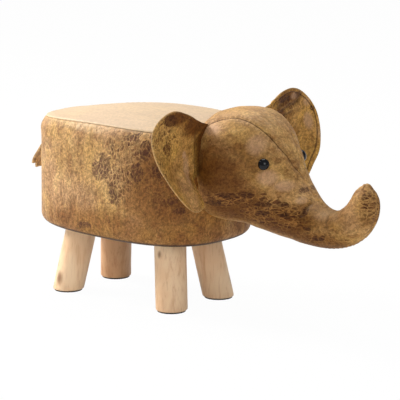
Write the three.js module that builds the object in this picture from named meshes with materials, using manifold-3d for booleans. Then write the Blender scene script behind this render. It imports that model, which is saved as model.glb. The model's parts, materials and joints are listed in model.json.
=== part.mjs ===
// Elephant footstool: a padded seat on four log legs, with a stuffed head, two ears and a strap tail.
// Lengths are in millimetres and angles in degrees. +Z is up, the head looks along +X and +Y is its left.
// A value or table whose name ends in share or shares is a part of the size that it is named with.
import * as THREE from 'three';
import { mergeVertices } from 'three/addons/utils/BufferGeometryUtils.js';
import Module from 'manifold-3d';

const wasm = await Module();
wasm.setup();

// Clearances
const gap = 0.3; // between pieces that touch
const fillGap = 0.5; // between the head's skin and its filling, measured square to the middle line
const overrun = 6; // how far a cutting solid passes the face that it cuts

// Legs, foot pads and their fasteners
const legDiameter = 47;
const legHeight = 99;
const legSplay = 9; // lean of each leg, along the body and across it
const legEndInset = 65; // from the end of the body to the middle of the foot
const legSideInset = 55; // from the side of the body to the middle of the foot
const legSegments = 18;
const padDiameter = 42;
const padThickness = 2;
const nailHeadDiameter = 7;
const nailHeadThickness = 0.8;
const nailHeadRecess = 0.6; // below the face of the pad
const nailDiameter = 2.4;
const nailLength = 16;
const boltDiameter = 8;
const boltLength = 60;
const boltInLeg = 33;
const boltPointLength = 6;
const nutBarrelDiameter = 11;
const nutBarrelLength = 9;
const nutFlangeDiameter = 22;
const nutFlangeThickness = 1.6;
const fastenerSegments = 8;

// Upholstered body
const bodyLength = 334;
const bodyWidth = 218;
const bodySquareness = 2.65; // exponent of the plan outline, where 2 is an ellipse
const bodyTaperShare = 0.09; // the front is wider and the rear narrower by this share
const seamRise = 167.2; // from the underside of the body to the highest place of its top seam
const bottomRadius = 14;
const shoulderHeight = 26; // part of the side that leans in to the top seam
const shoulderInset = 5.5;
const crownHeight = 11.2;
const crownFullness = 2.2;
const seatArch = 9; // the top seam falls by this much within half the body's length of its highest place
const seatArchForward = 16.5; // the seam's highest place, in front of the body's middle
const coverThickness = 1.5;
const coverTurnUnder = 14; // width of the cover that is tacked under the base board
const dustCoverThickness = 0.8;
const dustCoverInset = 19;
const sideFoamThickness = 8;
const sideWallThickness = 3;
const wallLift = 2; // side wall and foam start this far above the base board's underside
const outlineSegments = 40;
const cornerSteps = 3;
const shoulderSteps = 3;
const crownShares = [0.35, 0.65, 0.88]; // rings of the crown, of the way from its middle to the seam

// Frame
const boardThickness = 12;
const frameHeight = 133; // from the underside of the base board to the top of the seat board
const postWidth = 26;
const postSpacing = 100; // along the body
const postEdgeDistance = 9; // from the board's edge
const screwDiameter = 4;
const screwLength = 40;
const screwHeadDiameter = 8;
const screwHeadHeight = 3;
const screwPointLength = 4;

// Head and trunk
const headLength = 272; // along X, from the first section in the neck to the end of the trunk
const headDepth = 168;
const headWidth = 164;
const neckRise = 127; // middle of the neck above the underside of the body
const neckOverlap = 27; // the first section lies this far inside the front of the body
const trunkDrop = 83.5; // from the middle of the neck to the lowest middle of the trunk
// Sections of the head: place along, drop, height, width and squareness
const headSectionShares = [
  [0, 0, 0.52, 0.62, 2.6],
  [0.044, 0, 0.71, 0.74, 2.6],
  [0.108, 0.01, 0.886, 0.88, 2.5],
  [0.171, 0.07, 1.01, 1, 2.3],
  [0.25, 0.185, 1.018, 0.95, 2.1],
  [0.347, 0.372, 0.867, 0.74, 2],
  [0.434, 0.565, 0.7, 0.6, 2],
  [0.535, 0.755, 0.53, 0.49, 2],
  [0.631, 0.9, 0.41, 0.42, 2],
  [0.722, 0.977, 0.339, 0.366, 2],
  [0.806, 0.977, 0.312, 0.33, 2],
  [0.886, 0.886, 0.315, 0.317, 2],
  [0.945, 0.707, 0.3, 0.305, 2],
  [0.976, 0.49, 0.266, 0.256, 2],
  [0.984, 0.3, 0.215, 0.183, 2],
  [0.99, 0.125, 0.055, 0.058, 2],
];
const headRings = 23;
const trunkStartRing = 11; // the trunk's filling begins here
const headSegments = 20;
// Half of the forehead panel in plan: place along the head and part of its half width
const foreheadShares = [
  [-0.06, 0.73], [0.115, 0.668], [0.165, 0.625], [0.219, 0.575], [0.27, 0.515], [0.32, 0.468],
  [0.366, 0.422], [0.406, 0.37], [0.45, 0.292], [0.5, 0.205], [0.54, 0.125], [0.578, 0],
];
const foreheadFloorShare = 0.31; // depth of the cut below the neck's middle, of half the head's depth

// Eyes
const eyeDiameter = 15.5;
const eyeHeight = 5.5;
const eyeSink = 1;
const eyeRimHeight = 1.2;
const eyeShankDiameter = 4;
const eyeShankLength = 9;
const washerDiameter = 14;
const washerThickness = 1.5;
const eyeAlongShare = 0.342;
const eyeAngle = 41; // around the section, from the side towards the top
const eyeSegments = 14;
const eyeDomeSteps = 4;

// Ears
const earSpan = 102.5; // from the hinge line to the outer edge
const earHeight = 156.5;
const earForward = 32; // how far the lowest part of the rim stands in front of the hinge line
const earThickness = 9;
const earRimThickness = 3.6;
const earPanelThickness = 1.2;
const earBeadDiameter = 6;
const earHingeSpread = 172; // between the two hinge lines
const earHingeForward = 3; // hinge lines in front of the body
const earBottomRise = 54; // lowest point of the ears above the underside of the body
const earRootThickness = 8;
const earRootDepth = 34; // from the hinge into the head, before the head is cut away
const earRootTopDrop = 15; // the root's top edge falls this far towards the head
const earRootBottomRise = 12;
const earHingeBottomShare = 0.31;
const earHingeTopShare = 0.885;
// Rim of the left ear from the hinge's top: place along the span, up the height and forward
const earRimShares = [
  [0, 0.885, 0.13], [0.09, 0.921, 0.12], [0.208, 0.954, 0.075], [0.346, 0.983, 0.09], [0.49, 0.994, 0.13],
  [0.65, 0.969, 0.122], [0.815, 0.907, 0.12], [0.935, 0.827, 0.19], [0.992, 0.731, 0.345],
  [0.988, 0.619, 0.53], [0.933, 0.498, 0.73], [0.827, 0.378, 0.91], [0.673, 0.262, 0.94],
  [0.508, 0.155, 1], [0.342, 0.09, 1.045], [0.19, 0.096, 1], [0.085, 0.125, 0.88], [0.03, 0.207, 0.45],
  [0, 0.31, 0],
];
const earMiddleShares = [0.46, 0.55, -0.06];
const earCup = 1.7; // exponent of the cupped front
const earRimSteps = 22;
const earHingeSteps = 4;
const earRingShares = [0.35, 0.75, 1];

// Tail
const tailLength = 82;
const tailRootWidth = 20;
const tailTipWidth = 33;
const tailLayerThickness = 2;
const tailBeadDiameter = 5;
const tailAngle = 35; // lean from hanging straight down
const tailRootRise = 135; // above the underside of the body
const tailSideStrand = 8; // width of the strand at each side of the end
const tailSideStrandRise = 6; // the side strands end this far above the middle one
const tailNotchDepth = 8; // above the ends of the side strands
const tailNotchWidth = 3;
// The tail droops: a place along it, and the part of its lean that it keeps down to there
const tailDroopShares = [[0.8, 1], [0.87, 0.5], [1, 0]];

// Heights worked out from the stack of pieces, from the floor up
const legBottom = padThickness + gap;
const legTop = legBottom + legHeight;
const dustCoverBottom = legTop + gap;
const bodyBottom = dustCoverBottom + dustCoverThickness + gap;
const baseBottom = bodyBottom + coverThickness + gap;
const baseTop = baseBottom + boardThickness;
const frameTop = baseBottom + frameHeight;
const postBottom = baseTop + gap;
const postTop = frameTop - boardThickness - gap;
const seamHeight = bodyBottom + seamRise;
const panelBottom = seamHeight + gap;
const wallBottom = baseBottom + wallLift;

// Insets of the layers of the body's side, from its outline
const foamOutset = coverThickness + gap;
const foamInset = foamOutset + sideFoamThickness;
const wallOutset = foamInset + gap;
const wallInset = wallOutset + sideWallThickness;
const boardInset = wallInset + gap;

const legX = bodyLength / 2 - legEndInset;
const legY = bodyWidth / 2 - legSideInset;
const splaySlope = Math.tan(THREE.MathUtils.degToRad(legSplay));

// Materials
const leather = new THREE.MeshStandardMaterial({ color: 0xb48a4f, roughness: 0.62, metalness: 0 });
const legWood = new THREE.MeshStandardMaterial({ color: 0xdcb795, roughness: 0.6, metalness: 0 });
const plywood = new THREE.MeshStandardMaterial({ color: 0xc8a878, roughness: 0.75, metalness: 0 });
const hardboard = new THREE.MeshStandardMaterial({ color: 0x7a5a3c, roughness: 0.85, metalness: 0 });
const foam = new THREE.MeshStandardMaterial({ color: 0xe9dfb4, roughness: 0.95, metalness: 0 });
const fibre = new THREE.MeshStandardMaterial({ color: 0xf1f0ec, roughness: 1, metalness: 0 });
const cloth = new THREE.MeshStandardMaterial({ color: 0x1d1b1a, roughness: 0.95, metalness: 0 });
const steel = new THREE.MeshStandardMaterial({ color: 0xb9bcc0, roughness: 0.35, metalness: 1 });
const padPlastic = new THREE.MeshStandardMaterial({ color: 0x2b2623, roughness: 0.8, metalness: 0 });
const eyeGlass = new THREE.MeshStandardMaterial({ color: 0x0b0b0d, roughness: 0.12, metalness: 0 });

// Turns an outline drawn in X and Y so that it lies in Y and Z, with its depth along X
const acrossBody = new THREE.Matrix4().makeBasis(
  new THREE.Vector3(0, 1, 0), new THREE.Vector3(0, 0, 1), new THREE.Vector3(1, 0, 0),
);

const assembly = new THREE.Group();

function addPiece(name, geometry, material) {
  const mesh = new THREE.Mesh(geometry, material);
  mesh.name = name;
  assembly.add(mesh);
}

// Closed meshes

function signedVolume(points, index) {
  let total = 0;
  for (let i = 0; i < index.length; i += 3) {
    const [a, b, c] = [points[index[i]], points[index[i + 1]], points[index[i + 2]]];
    total += a.dot(b.clone().cross(c)) / 6;
  }
  return total;
}

// Geometry from points and triangles, turned so that its faces point out
function closedGeometry(points, index) {
  const outward = signedVolume(points, index) > 0 ? index : [...index].reverse();
  const geometry = new THREE.BufferGeometry();
  geometry.setAttribute('position', new THREE.Float32BufferAttribute(points.flatMap((p) => p.toArray()), 3));
  geometry.setIndex(outward);
  return geometry;
}

function middleOf(points) {
  const sum = points.reduce((total, p) => total.add(p), new THREE.Vector3());
  return sum.divideScalar(points.length);
}

// Two triangles for each cell between one ring of points and the next
function joinRings(index, from, to, count) {
  for (let j = 0; j < count; j += 1) {
    const k = (j + 1) % count;
    index.push(from + j, from + k, to + k, from + j, to + k, to + j);
  }
}

// Solid through a row of rings, with a fan of triangles over the first ring and the last
function loftSolid(rings) {
  const count = rings[0].length;
  const points = rings.flat();
  const index = [];
  for (let i = 0; i + 1 < rings.length; i += 1) joinRings(index, i * count, (i + 1) * count, count);
  const firstMiddle = points.push(middleOf(rings[0])) - 1;
  const lastMiddle = points.push(middleOf(rings.at(-1))) - 1;
  const lastRing = (rings.length - 1) * count;
  for (let j = 0; j < count; j += 1) {
    const k = (j + 1) % count;
    index.push(firstMiddle, k, j, lastMiddle, lastRing + j, lastRing + k);
  }
  return closedGeometry(points, index);
}

// Dish: two faces, each a row of rings from the middle out, with the same triangles and joined at the rim
function dishSolid(backRings, frontRings) {
  const count = backRings[0].length;
  const points = [...backRings.flat(), ...frontRings.flat()];
  const front = backRings.length * count;
  const index = [];
  for (let i = 0; i + 1 < backRings.length; i += 1) joinRings(index, i * count, (i + 1) * count, count);
  const faceEnd = index.length;
  for (let t = 0; t < faceEnd; t += 3) index.push(front + index[t], front + index[t + 2], front + index[t + 1]);
  joinRings(index, front - count, front * 2 - count, count);
  const backMiddle = points.push(middleOf(backRings[0])) - 1;
  const frontMiddle = points.push(middleOf(frontRings[0])) - 1;
  for (let j = 0; j < count; j += 1) {
    const k = (j + 1) % count;
    index.push(backMiddle, k, j, frontMiddle, front + j, front + k);
  }
  return closedGeometry(points, index);
}

// Hoop: the same closed section at every station of a loop
function hoopSolid(sections) {
  const count = sections[0].length;
  const index = [];
  for (let i = 0; i < sections.length; i += 1) {
    joinRings(index, i * count, ((i + 1) % sections.length) * count, count);
  }
  return closedGeometry(sections.flat(), index);
}

// Solid turned about Z from a profile of [radius, height] points that starts and ends on the axis
function turnedSolid(profile, segments) {
  const geometry = new THREE.LatheGeometry(profile.map(([r, z]) => new THREE.Vector2(r, z)), segments);
  return geometry.rotateX(Math.PI / 2);
}

function rod(radius, bottom, top, segments) {
  return turnedSolid([[0, bottom], [radius, bottom], [radius, top], [0, top]], segments);
}

function boxSolid(from, to) {
  const size = to.clone().sub(from);
  const centre = from.clone().add(to).divideScalar(2);
  return new THREE.BoxGeometry(size.x, size.y, size.z).translate(centre.x, centre.y, centre.z);
}

function toManifold(geometry) {
  const bare = geometry.clone();
  bare.deleteAttribute('normal');
  bare.deleteAttribute('uv');
  const merged = mergeVertices(bare);
  return new wasm.Manifold(new wasm.Mesh({
    numProp: 3,
    vertProperties: new Float32Array(merged.attributes.position.array),
    triVerts: new Uint32Array(merged.index.array),
  }));
}

function fromManifold(manifold) {
  const mesh = manifold.getMesh();
  const geometry = new THREE.BufferGeometry();
  geometry.setAttribute('position', new THREE.BufferAttribute(mesh.vertProperties, 3));
  geometry.setIndex(new THREE.BufferAttribute(mesh.triVerts, 1));
  return geometry;
}

function cutSolid(geometry, ...tools) {
  return fromManifold(tools.reduce((left, tool) => left.subtract(toManifold(tool)), toManifold(geometry)));
}

function commonSolid(geometry, tool) {
  return fromManifold(toManifold(geometry).intersect(toManifold(tool)));
}

function joinedSolid(geometry, tool) {
  return fromManifold(toManifold(geometry).add(toManifold(tool)));
}

// The body's outline and side

// The seat is arched: it falls to its front and its rear, in full at the seam and not at all at the frame
function archAt(x, z) {
  const start = frameTop + gap;
  const full = THREE.MathUtils.clamp((z - start) / (seamHeight - start), 0, 1);
  return -seatArch * ((x - seatArchForward) / (bodyLength / 2)) ** 2 * full;
}

function outlinePoint(j, inset, share, z) {
  const angle = (j / outlineSegments) * Math.PI * 2;
  const power = 2 / bodySquareness;
  const along = Math.sign(Math.cos(angle)) * Math.abs(Math.cos(angle)) ** power;
  const across = Math.sign(Math.sin(angle)) * Math.abs(Math.sin(angle)) ** power;
  const x = share * (bodyLength / 2 - inset) * along;
  const y = share * (bodyWidth / 2 - inset) * across * (1 + bodyTaperShare * along);
  return new THREE.Vector3(x, y, z + archAt(x, z));
}

function outlineRing(inset, z, share = 1) {
  return Array.from({ length: outlineSegments }, (_, j) => outlinePoint(j, inset, share, z));
}

// Side of the body as [inset, height] points, from the turned-under edge up to the top seam, seen at a
// depth under the cover's face
function sideProfile(depth) {
  const face = [[bottomRadius + coverTurnUnder, bodyBottom]];
  for (let i = 0; i <= cornerSteps; i += 1) {
    const turn = (i / cornerSteps) * (Math.PI / 2);
    face.push([bottomRadius * (1 - Math.sin(turn)), bodyBottom + bottomRadius * (1 - Math.cos(turn))]);
  }
  for (let i = 0; i <= shoulderSteps; i += 1) {
    const up = i / shoulderSteps;
    face.push([shoulderInset * up ** 2, seamHeight - shoulderHeight * (1 - up)]);
  }
  return face.map(([inset, z], i) => {
    const before = face[Math.max(i - 1, 0)];
    const after = face[Math.min(i + 1, face.length - 1)];
    const run = after[0] - before[0];
    const rise = after[1] - before[1];
    const length = Math.hypot(run, rise);
    return [inset + (depth * rise) / length, z - (depth * run) / length];
  });
}

function insetAt(profile, z) {
  const above = profile.findIndex((point, i) => i > 0 && point[1] >= z);
  const end = above < 0 ? profile.length - 1 : above;
  const [low, high] = [profile[end - 1], profile[end]];
  return low[0] + (high[0] - low[0]) * ((z - low[1]) / (high[1] - low[1]));
}

// Part of a side profile between two heights
function profileBetween(profile, bottom, top) {
  const inside = profile.filter((point) => point[1] > bottom && point[1] < top);
  return [[insetAt(profile, bottom), bottom], ...inside, [insetAt(profile, top), top]];
}

function profileHoop(profile) {
  const station = (_, j) => profile.map(([inset, z]) => outlinePoint(j, inset, 1, z));
  return hoopSolid(Array.from({ length: outlineSegments }, station));
}

function crownAt(share) {
  return crownHeight * (1 - share ** crownFullness);
}

// Rings of the crown at a height over the seam, from the middle out
function crownRings(inset, base, rimShare = 1) {
  return [...crownShares, rimShare].map((share) => outlineRing(inset, base + crownAt(share), share));
}

function board(bottom) {
  return loftSolid([outlineRing(boardInset, bottom), outlineRing(boardInset, bottom + boardThickness)]);
}

// The body with its cover, grown by a margin all round: it trims what meets the body
function bodyEnvelope(margin) {
  const side = sideProfile(-margin).slice(1).map(([inset, z]) => outlineRing(inset, z));
  const crown = crownRings(shoulderInset - margin, panelBottom + coverThickness + margin).reverse();
  return loftSolid([...side, ...crown]);
}

// Head and trunk

const neckX = bodyLength / 2 - neckOverlap;
const neckHeight = bodyBottom + neckRise;
const trunkStart = trunkStartRing / headRings;
const headSpine = new THREE.CatmullRomCurve3(headSectionShares.map(([along, drop]) => (
  new THREE.Vector3(neckX + along * headLength, 0, neckHeight - drop * trunkDrop)
)));
const headGirth = new THREE.CatmullRomCurve3(headSectionShares.map(([, , height, width, squareness]) => (
  new THREE.Vector3((height * headDepth) / 2, (width * headWidth) / 2, squareness)
)), false, 'catmullrom', 0.5);

// Point of the head's skin at a share of its length and an angle round the section, under the face by a depth
function headPoint(along, angle, depth) {
  const centre = headSpine.getPoint(along);
  const tangent = headSpine.getTangent(along);
  const up = new THREE.Vector3(-tangent.z, 0, tangent.x);
  const girth = headGirth.getPoint(along);
  const power = 2 / girth.z;
  const side = Math.sign(Math.cos(angle)) * Math.abs(Math.cos(angle)) ** power;
  const rise = Math.sign(Math.sin(angle)) * Math.abs(Math.sin(angle)) ** power;
  const point = centre.clone().addScaledVector(up, (girth.x - depth) * rise);
  point.y += (girth.y - depth) * side;
  return point;
}

// Solid of the head between two shares of its length, under the skin's face by a depth
function headSolid(from, to, depth) {
  const between = Array.from({ length: headRings }, (_, i) => i / headRings);
  const places = [from, ...between.filter((along) => along > from && along < to), to];
  return loftSolid(places.map((along) => Array.from({ length: headSegments }, (_, j) => (
    headPoint(along, (j / headSegments) * Math.PI * 2, depth)
  ))));
}

// Upright prism over the forehead panel's plan, wider on each side by a margin
function foreheadPrism(margin) {
  const left = foreheadShares.map(([along, across]) => {
    const x = neckX + along * headLength;
    if (across === 0) return new THREE.Vector2(x + margin, 0);
    return new THREE.Vector2(x, (across * headWidth) / 2 + margin);
  });
  const right = left.slice(0, -1).reverse().map((point) => new THREE.Vector2(point.x, -point.y));
  const outline = new THREE.Shape([...left, ...right]);
  const floor = neckHeight - (foreheadFloorShare * headDepth) / 2;
  const prism = new THREE.ExtrudeGeometry(outline, { depth: headDepth, bevelEnabled: false });
  return prism.translate(0, 0, floor);
}

// Half space on one side of the middle, where side is 1 for left and -1 for right
function sideBlock(side) {
  const low = new THREE.Vector3(0, side > 0 ? gap / 2 : -headWidth, 0);
  const high = new THREE.Vector3(neckX + headLength * 2, side > 0 ? headWidth : -gap / 2, neckHeight * 2);
  return boxSolid(low, high);
}

// A place on the skin with its outward direction, for an eye
function skinFrame(along, angle) {
  const step = 0.004;
  const point = headPoint(along, angle, 0);
  const ahead = headPoint(along + step, angle, 0).sub(headPoint(along - step, angle, 0));
  const around = headPoint(along, angle + step, 0).sub(headPoint(along, angle - step, 0));
  const out = around.cross(ahead).normalize();
  if (out.y * point.y < 0) out.negate();
  const turn = new THREE.Quaternion().setFromUnitVectors(new THREE.Vector3(0, 0, 1), out);
  return new THREE.Matrix4().compose(point, turn, new THREE.Vector3(1, 1, 1));
}

// Eye button with its shank, standing on the skin: grown by a margin, it is the tool that seats it
function eyeSolid(margin) {
  const radius = eyeDiameter / 2 + margin;
  const profile = [[0, -eyeShankLength - margin], [eyeShankDiameter / 2 + margin, -eyeShankLength - margin]];
  profile.push([eyeShankDiameter / 2 + margin, -eyeSink - margin], [radius, -eyeSink - margin]);
  for (let i = 0; i < eyeDomeSteps; i += 1) {
    const turn = (i / eyeDomeSteps) * (Math.PI / 2);
    const z = eyeRimHeight - eyeSink + (eyeHeight - eyeRimHeight) * Math.sin(turn);
    profile.push([radius * Math.cos(turn), z]);
  }
  profile.push([0, eyeHeight - eyeSink]);
  return turnedSolid(profile, eyeSegments);
}

function washerSolid(margin) {
  const top = -coverThickness - eyeSink - gap + margin;
  const bottom = top - washerThickness - margin * 2;
  const inner = eyeShankDiameter / 2 + gap;
  const radius = washerDiameter / 2 + margin;
  const profile = [[inner, bottom], [radius, bottom], [radius, top], [inner, top], [inner, bottom]];
  return turnedSolid(profile, eyeSegments);
}

// Room for the washer in the filling, open towards the skin
function washerPocket() {
  const bottom = -coverThickness - eyeSink - washerThickness - gap * 2;
  return rod(washerDiameter / 2 + gap, bottom, overrun, eyeSegments);
}

function addHead() {
  const body = bodyEnvelope(gap);
  const outside = headSolid(0, 1, 0);
  const inside = headSolid(0, 1 - coverThickness / headLength, coverThickness);
  const skin = cutSolid(outside, inside, boxSolid(
    new THREE.Vector3(0, -headWidth, 0),
    new THREE.Vector3(neckX + coverThickness, headWidth, neckHeight * 2),
  ), body);
  addPiece('forehead_panel', commonSolid(skin, foreheadPrism(0)), leather);
  const eyePlaces = [1, -1].map((side) => {
    const angle = THREE.MathUtils.degToRad(side > 0 ? eyeAngle : 180 - eyeAngle);
    return { name: side > 0 ? 'left' : 'right', side, frame: skinFrame(eyeAlongShare, angle) };
  });
  for (const { name, side, frame } of eyePlaces) {
    const half = cutSolid(commonSolid(skin, sideBlock(side)), foreheadPrism(gap));
    addPiece(`cheek_${name}`, cutSolid(half, eyeSolid(gap).applyMatrix4(frame)), leather);
    addPiece(`eye_${name}`, eyeSolid(0).applyMatrix4(frame), eyeGlass);
    addPiece(`eye_washer_${name}`, washerSolid(0).applyMatrix4(frame), padPlastic);
  }
  const fillDepth = coverThickness + fillGap;
  const split = gap / headLength;
  const eyeRoom = eyePlaces.flatMap(({ frame }) => (
    [eyeSolid(gap).applyMatrix4(frame), washerPocket().applyMatrix4(frame)]
  ));
  const headFill = headSolid(0, trunkStart - split, fillDepth);
  addPiece('head_stuffing', cutSolid(headFill, body, ...eyeRoom), fibre);
  const trunkFill = headSolid(trunkStart + split, 1 - fillDepth / headLength, fillDepth);
  addPiece('trunk_stuffing', trunkFill, fibre);
}

// Ears

const earHingeX = bodyLength / 2 + earHingeForward;
const earBottom = bodyBottom + earBottomRise;

function earPlace([out, up, forward]) {
  return new THREE.Vector3(
    earHingeX + forward * earForward,
    earHingeSpread / 2 + out * earSpan,
    earBottom + up * earHeight,
  );
}

// Rim of the left ear: a curve from the hinge's top round to its bottom, then straight up the hinge
function earRim() {
  const curve = new THREE.CatmullRomCurve3(earRimShares.map(earPlace));
  const rim = curve.getPoints(earRimSteps);
  const [bottom, top] = [rim.at(-1), rim[0]];
  for (let i = 1; i < earHingeSteps; i += 1) rim.push(bottom.clone().lerp(top, i / earHingeSteps));
  return rim;
}

// One layer of the ear between two depths through its thickness, where 0 is the middle of the ear.
// Thickness falls from the middle to the rim, and each depth is a function of the ring's share.
function earLayer(rim, back, front) {
  const middle = earPlace(earMiddleShares);
  const ring = (share, depth) => rim.map((edge) => {
    const point = middle.clone().lerp(edge, share);
    point.x = middle.x + (edge.x - middle.x) * share ** earCup + depth(share);
    return point;
  });
  return dishSolid(
    earRingShares.map((share) => ring(share, back)),
    earRingShares.map((share) => ring(share, front)),
  );
}

function earHalfThickness(share) {
  return (earRimThickness + (earThickness - earRimThickness) * (1 - share ** 4)) / 2;
}

function mirrored(geometry) {
  const copy = geometry.clone().applyMatrix4(new THREE.Matrix4().makeScale(1, -1, 1));
  copy.setIndex([...copy.index.array].reverse());
  return copy;
}

// Rod round the left ear's hinge line
function earHingeRod(radius, extra) {
  const bottom = earPlace([0, earHingeBottomShare, 0]);
  const top = earPlace([0, earHingeTopShare, 0]);
  return rod(radius, bottom.z - extra, top.z + extra, fastenerSegments).translate(bottom.x, bottom.y, 0);
}

// Sewn root of an ear: a flat strip from the head's side out to the hinge line
function earRoot(side) {
  const bottom = earPlace([0, earHingeBottomShare, 0]);
  const top = earPlace([0, earHingeTopShare, 0]);
  const outer = earHingeSpread / 2 - earBeadDiameter / 2 - gap;
  const outline = new THREE.Shape([
    new THREE.Vector2(side * outer, bottom.z),
    new THREE.Vector2(side * outer, top.z),
    new THREE.Vector2(side * (outer - earRootDepth), top.z - earRootTopDrop),
    new THREE.Vector2(side * (outer - earRootDepth), bottom.z + earRootBottomRise),
  ]);
  const strip = new THREE.ExtrudeGeometry(outline, { depth: earRootThickness, bevelEnabled: false });
  strip.applyMatrix4(acrossBody).translate(earHingeX - earRootThickness / 2, 0, 0);
  return cutSolid(strip, headSolid(0, trunkStart, -gap), bodyEnvelope(gap));
}

function addEars() {
  const rim = earRim();
  const skinDepth = earPanelThickness;
  const front = earHalfThickness;
  const back = (share) => -earHalfThickness(share);
  const underFront = (share) => earHalfThickness(share) - skinDepth;
  const underBack = (share) => skinDepth - earHalfThickness(share);
  const fillFront = (share) => underFront(share) - gap;
  const fillBack = (share) => underBack(share) + gap;
  const bead = earHingeRod(earBeadDiameter / 2, 0);
  const beadRoom = earHingeRod(earBeadDiameter / 2 + gap, gap);
  const pieces = [
    ['front_panel', cutSolid(earLayer(rim, underFront, front), beadRoom), leather],
    ['back_panel', joinedSolid(earLayer(rim, back, underBack), bead), leather],
    ['wadding', cutSolid(earLayer(rim, fillBack, fillFront), beadRoom), fibre],
  ];
  for (const [piece, geometry, material] of pieces) {
    addPiece(`ear_left_${piece}`, geometry, material);
    addPiece(`ear_right_${piece}`, mirrored(geometry), material);
  }
  addPiece('ear_left_root', earRoot(1), leather);
  addPiece('ear_right_root', earRoot(-1), leather);
}

// Tail

const tailLeans = tailDroopShares.map(([, share]) => THREE.MathUtils.degToRad(tailAngle * share));

// Sections of a layer of the tail between two depths, from the hinge line down, where +X faces the body
function tailSections(back, front) {
  const middle = new THREE.Vector3();
  return [0, ...tailDroopShares.map(([along]) => along)].map((along, i, places) => {
    const above = tailLeans[Math.max(i - 1, 0)];
    const below = tailLeans[Math.min(i, tailLeans.length - 1)];
    const step = i > 0 ? (along - places[i - 1]) * tailLength : 0;
    middle.add(new THREE.Vector3(-Math.sin(above) * step, 0, -Math.cos(above) * step));
    const facing = (above + below) / 2;
    const half = THREE.MathUtils.lerp(tailRootWidth, tailTipWidth, along) / 2;
    return [[back, -half], [back, half], [front, half], [front, -half]].map(([depth, y]) => (
      new THREE.Vector3(middle.x + Math.cos(facing) * depth, y, middle.z - Math.sin(facing) * depth)
    ));
  });
}

// Cut on one side of the tail's end that parts a shorter strand from the middle one
function tailEndCut(side, end) {
  const strandTop = end.z + tailSideStrandRise;
  const low = end.z - overrun;
  const edge = tailTipWidth / 2 - tailSideStrand;
  const outline = new THREE.Shape([
    new THREE.Vector2(side * (edge - tailNotchWidth / 2), low),
    new THREE.Vector2(side * edge, strandTop + tailNotchDepth),
    new THREE.Vector2(side * (edge + tailNotchWidth / 2), strandTop),
    new THREE.Vector2(side * (tailTipWidth / 2 + overrun), strandTop),
    new THREE.Vector2(side * (tailTipWidth / 2 + overrun), low),
  ]);
  const cut = new THREE.ExtrudeGeometry(outline, { depth: tailTipWidth, bevelEnabled: false });
  return cut.applyMatrix4(acrossBody).translate(end.x - tailTipWidth / 2, 0, 0);
}

function tailLayer(back, front) {
  const sections = tailSections(back, front);
  const end = middleOf(sections.at(-1));
  return cutSolid(loftSolid(sections), tailEndCut(1, end), tailEndCut(-1, end));
}

function tailBead(margin) {
  const half = tailRootWidth / 2 + margin;
  return rod(tailBeadDiameter / 2 + margin, -half, half, fastenerSegments).rotateX(Math.PI / 2);
}

function addTail() {
  const hingeX = -bodyLength / 2 - gap - tailBeadDiameter / 2;
  const hingeHeight = bodyBottom + tailRootRise;
  const outer = joinedSolid(tailLayer(-gap / 2 - tailLayerThickness, -gap / 2), tailBead(0));
  const inner = cutSolid(tailLayer(gap / 2, gap / 2 + tailLayerThickness), tailBead(gap));
  addPiece('tail_outer_strip', outer.translate(hingeX, 0, hingeHeight), leather);
  addPiece('tail_inner_strip', inner.translate(hingeX, 0, hingeHeight), leather);
}

// Frame, filling and cover

function boltPoint(endSign, sideSign) {
  const lean = (legTop - legBottom) * splaySlope;
  return new THREE.Vector3(endSign * (legX - lean), sideSign * (legY - lean), 0);
}

const corners = [['front', 1], ['rear', -1]].flatMap(([end, endSign]) => (
  [['left', 1], ['right', -1]].map(([side, sideSign]) => ({ name: `${end}_${side}`, endSign, sideSign }))
));

function boltSolid(margin) {
  const [radius, bottom] = [boltDiameter / 2 + margin, legTop - boltInLeg - margin];
  const top = legTop - boltInLeg + boltLength + margin;
  return turnedSolid([[0, bottom], [radius, bottom + boltPointLength], [radius, top], [0, top]], fastenerSegments);
}

function teeNutSolid() {
  const [bore, barrel, flange] = [boltDiameter / 2 + gap, nutBarrelDiameter / 2, nutFlangeDiameter / 2];
  const seat = baseTop + gap;
  return turnedSolid([
    [bore, seat - nutBarrelLength], [barrel, seat - nutBarrelLength], [barrel, seat],
    [flange, seat], [flange, seat + nutFlangeThickness], [bore, seat + nutFlangeThickness],
    [bore, seat - nutBarrelLength],
  ], fastenerSegments);
}

function nailSolid(margin) {
  const [shank, head] = [nailDiameter / 2 + margin, nailHeadDiameter / 2 + margin];
  const headTop = nailHeadRecess + nailHeadThickness;
  const tip = nailHeadRecess + nailLength;
  const bottom = margin > 0 ? -overrun : nailHeadRecess;
  return turnedSolid([
    [0, bottom], [head, bottom], [head, headTop + margin], [shank, headTop + margin],
    [shank, tip - nailDiameter], [0, tip + margin],
  ], fastenerSegments);
}

// Wood screw with its head's face at a height, pointing up or down
function screwSolid(headFace, direction, margin) {
  const [shank, head] = [screwDiameter / 2 + margin, screwHeadDiameter / 2 + margin];
  const steps = [
    [0, margin > 0 ? -overrun : 0], [head, margin > 0 ? -overrun : 0], [head, 0], [shank, screwHeadHeight],
    [shank, screwLength - screwPointLength], [0, screwLength + margin],
  ];
  const profile = margin > 0 ? steps : steps.filter((_, i) => i !== 1);
  const screw = turnedSolid(profile, fastenerSegments);
  if (direction < 0) screw.rotateX(Math.PI);
  return screw.translate(0, 0, headFace);
}

// A round log leg, leaning out and cut level at both ends
function legSolid({ endSign, sideSign }) {
  const lean = new THREE.Matrix4().set(
    1, 0, -endSign * splaySlope, 0,
    0, 1, -sideSign * splaySlope, 0,
    0, 0, 1, 0,
    0, 0, 0, 1,
  );
  const log = rod(legDiameter / 2, 0, legHeight, legSegments).applyMatrix4(lean);
  return log.translate(endSign * legX, sideSign * legY, legBottom);
}

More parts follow.
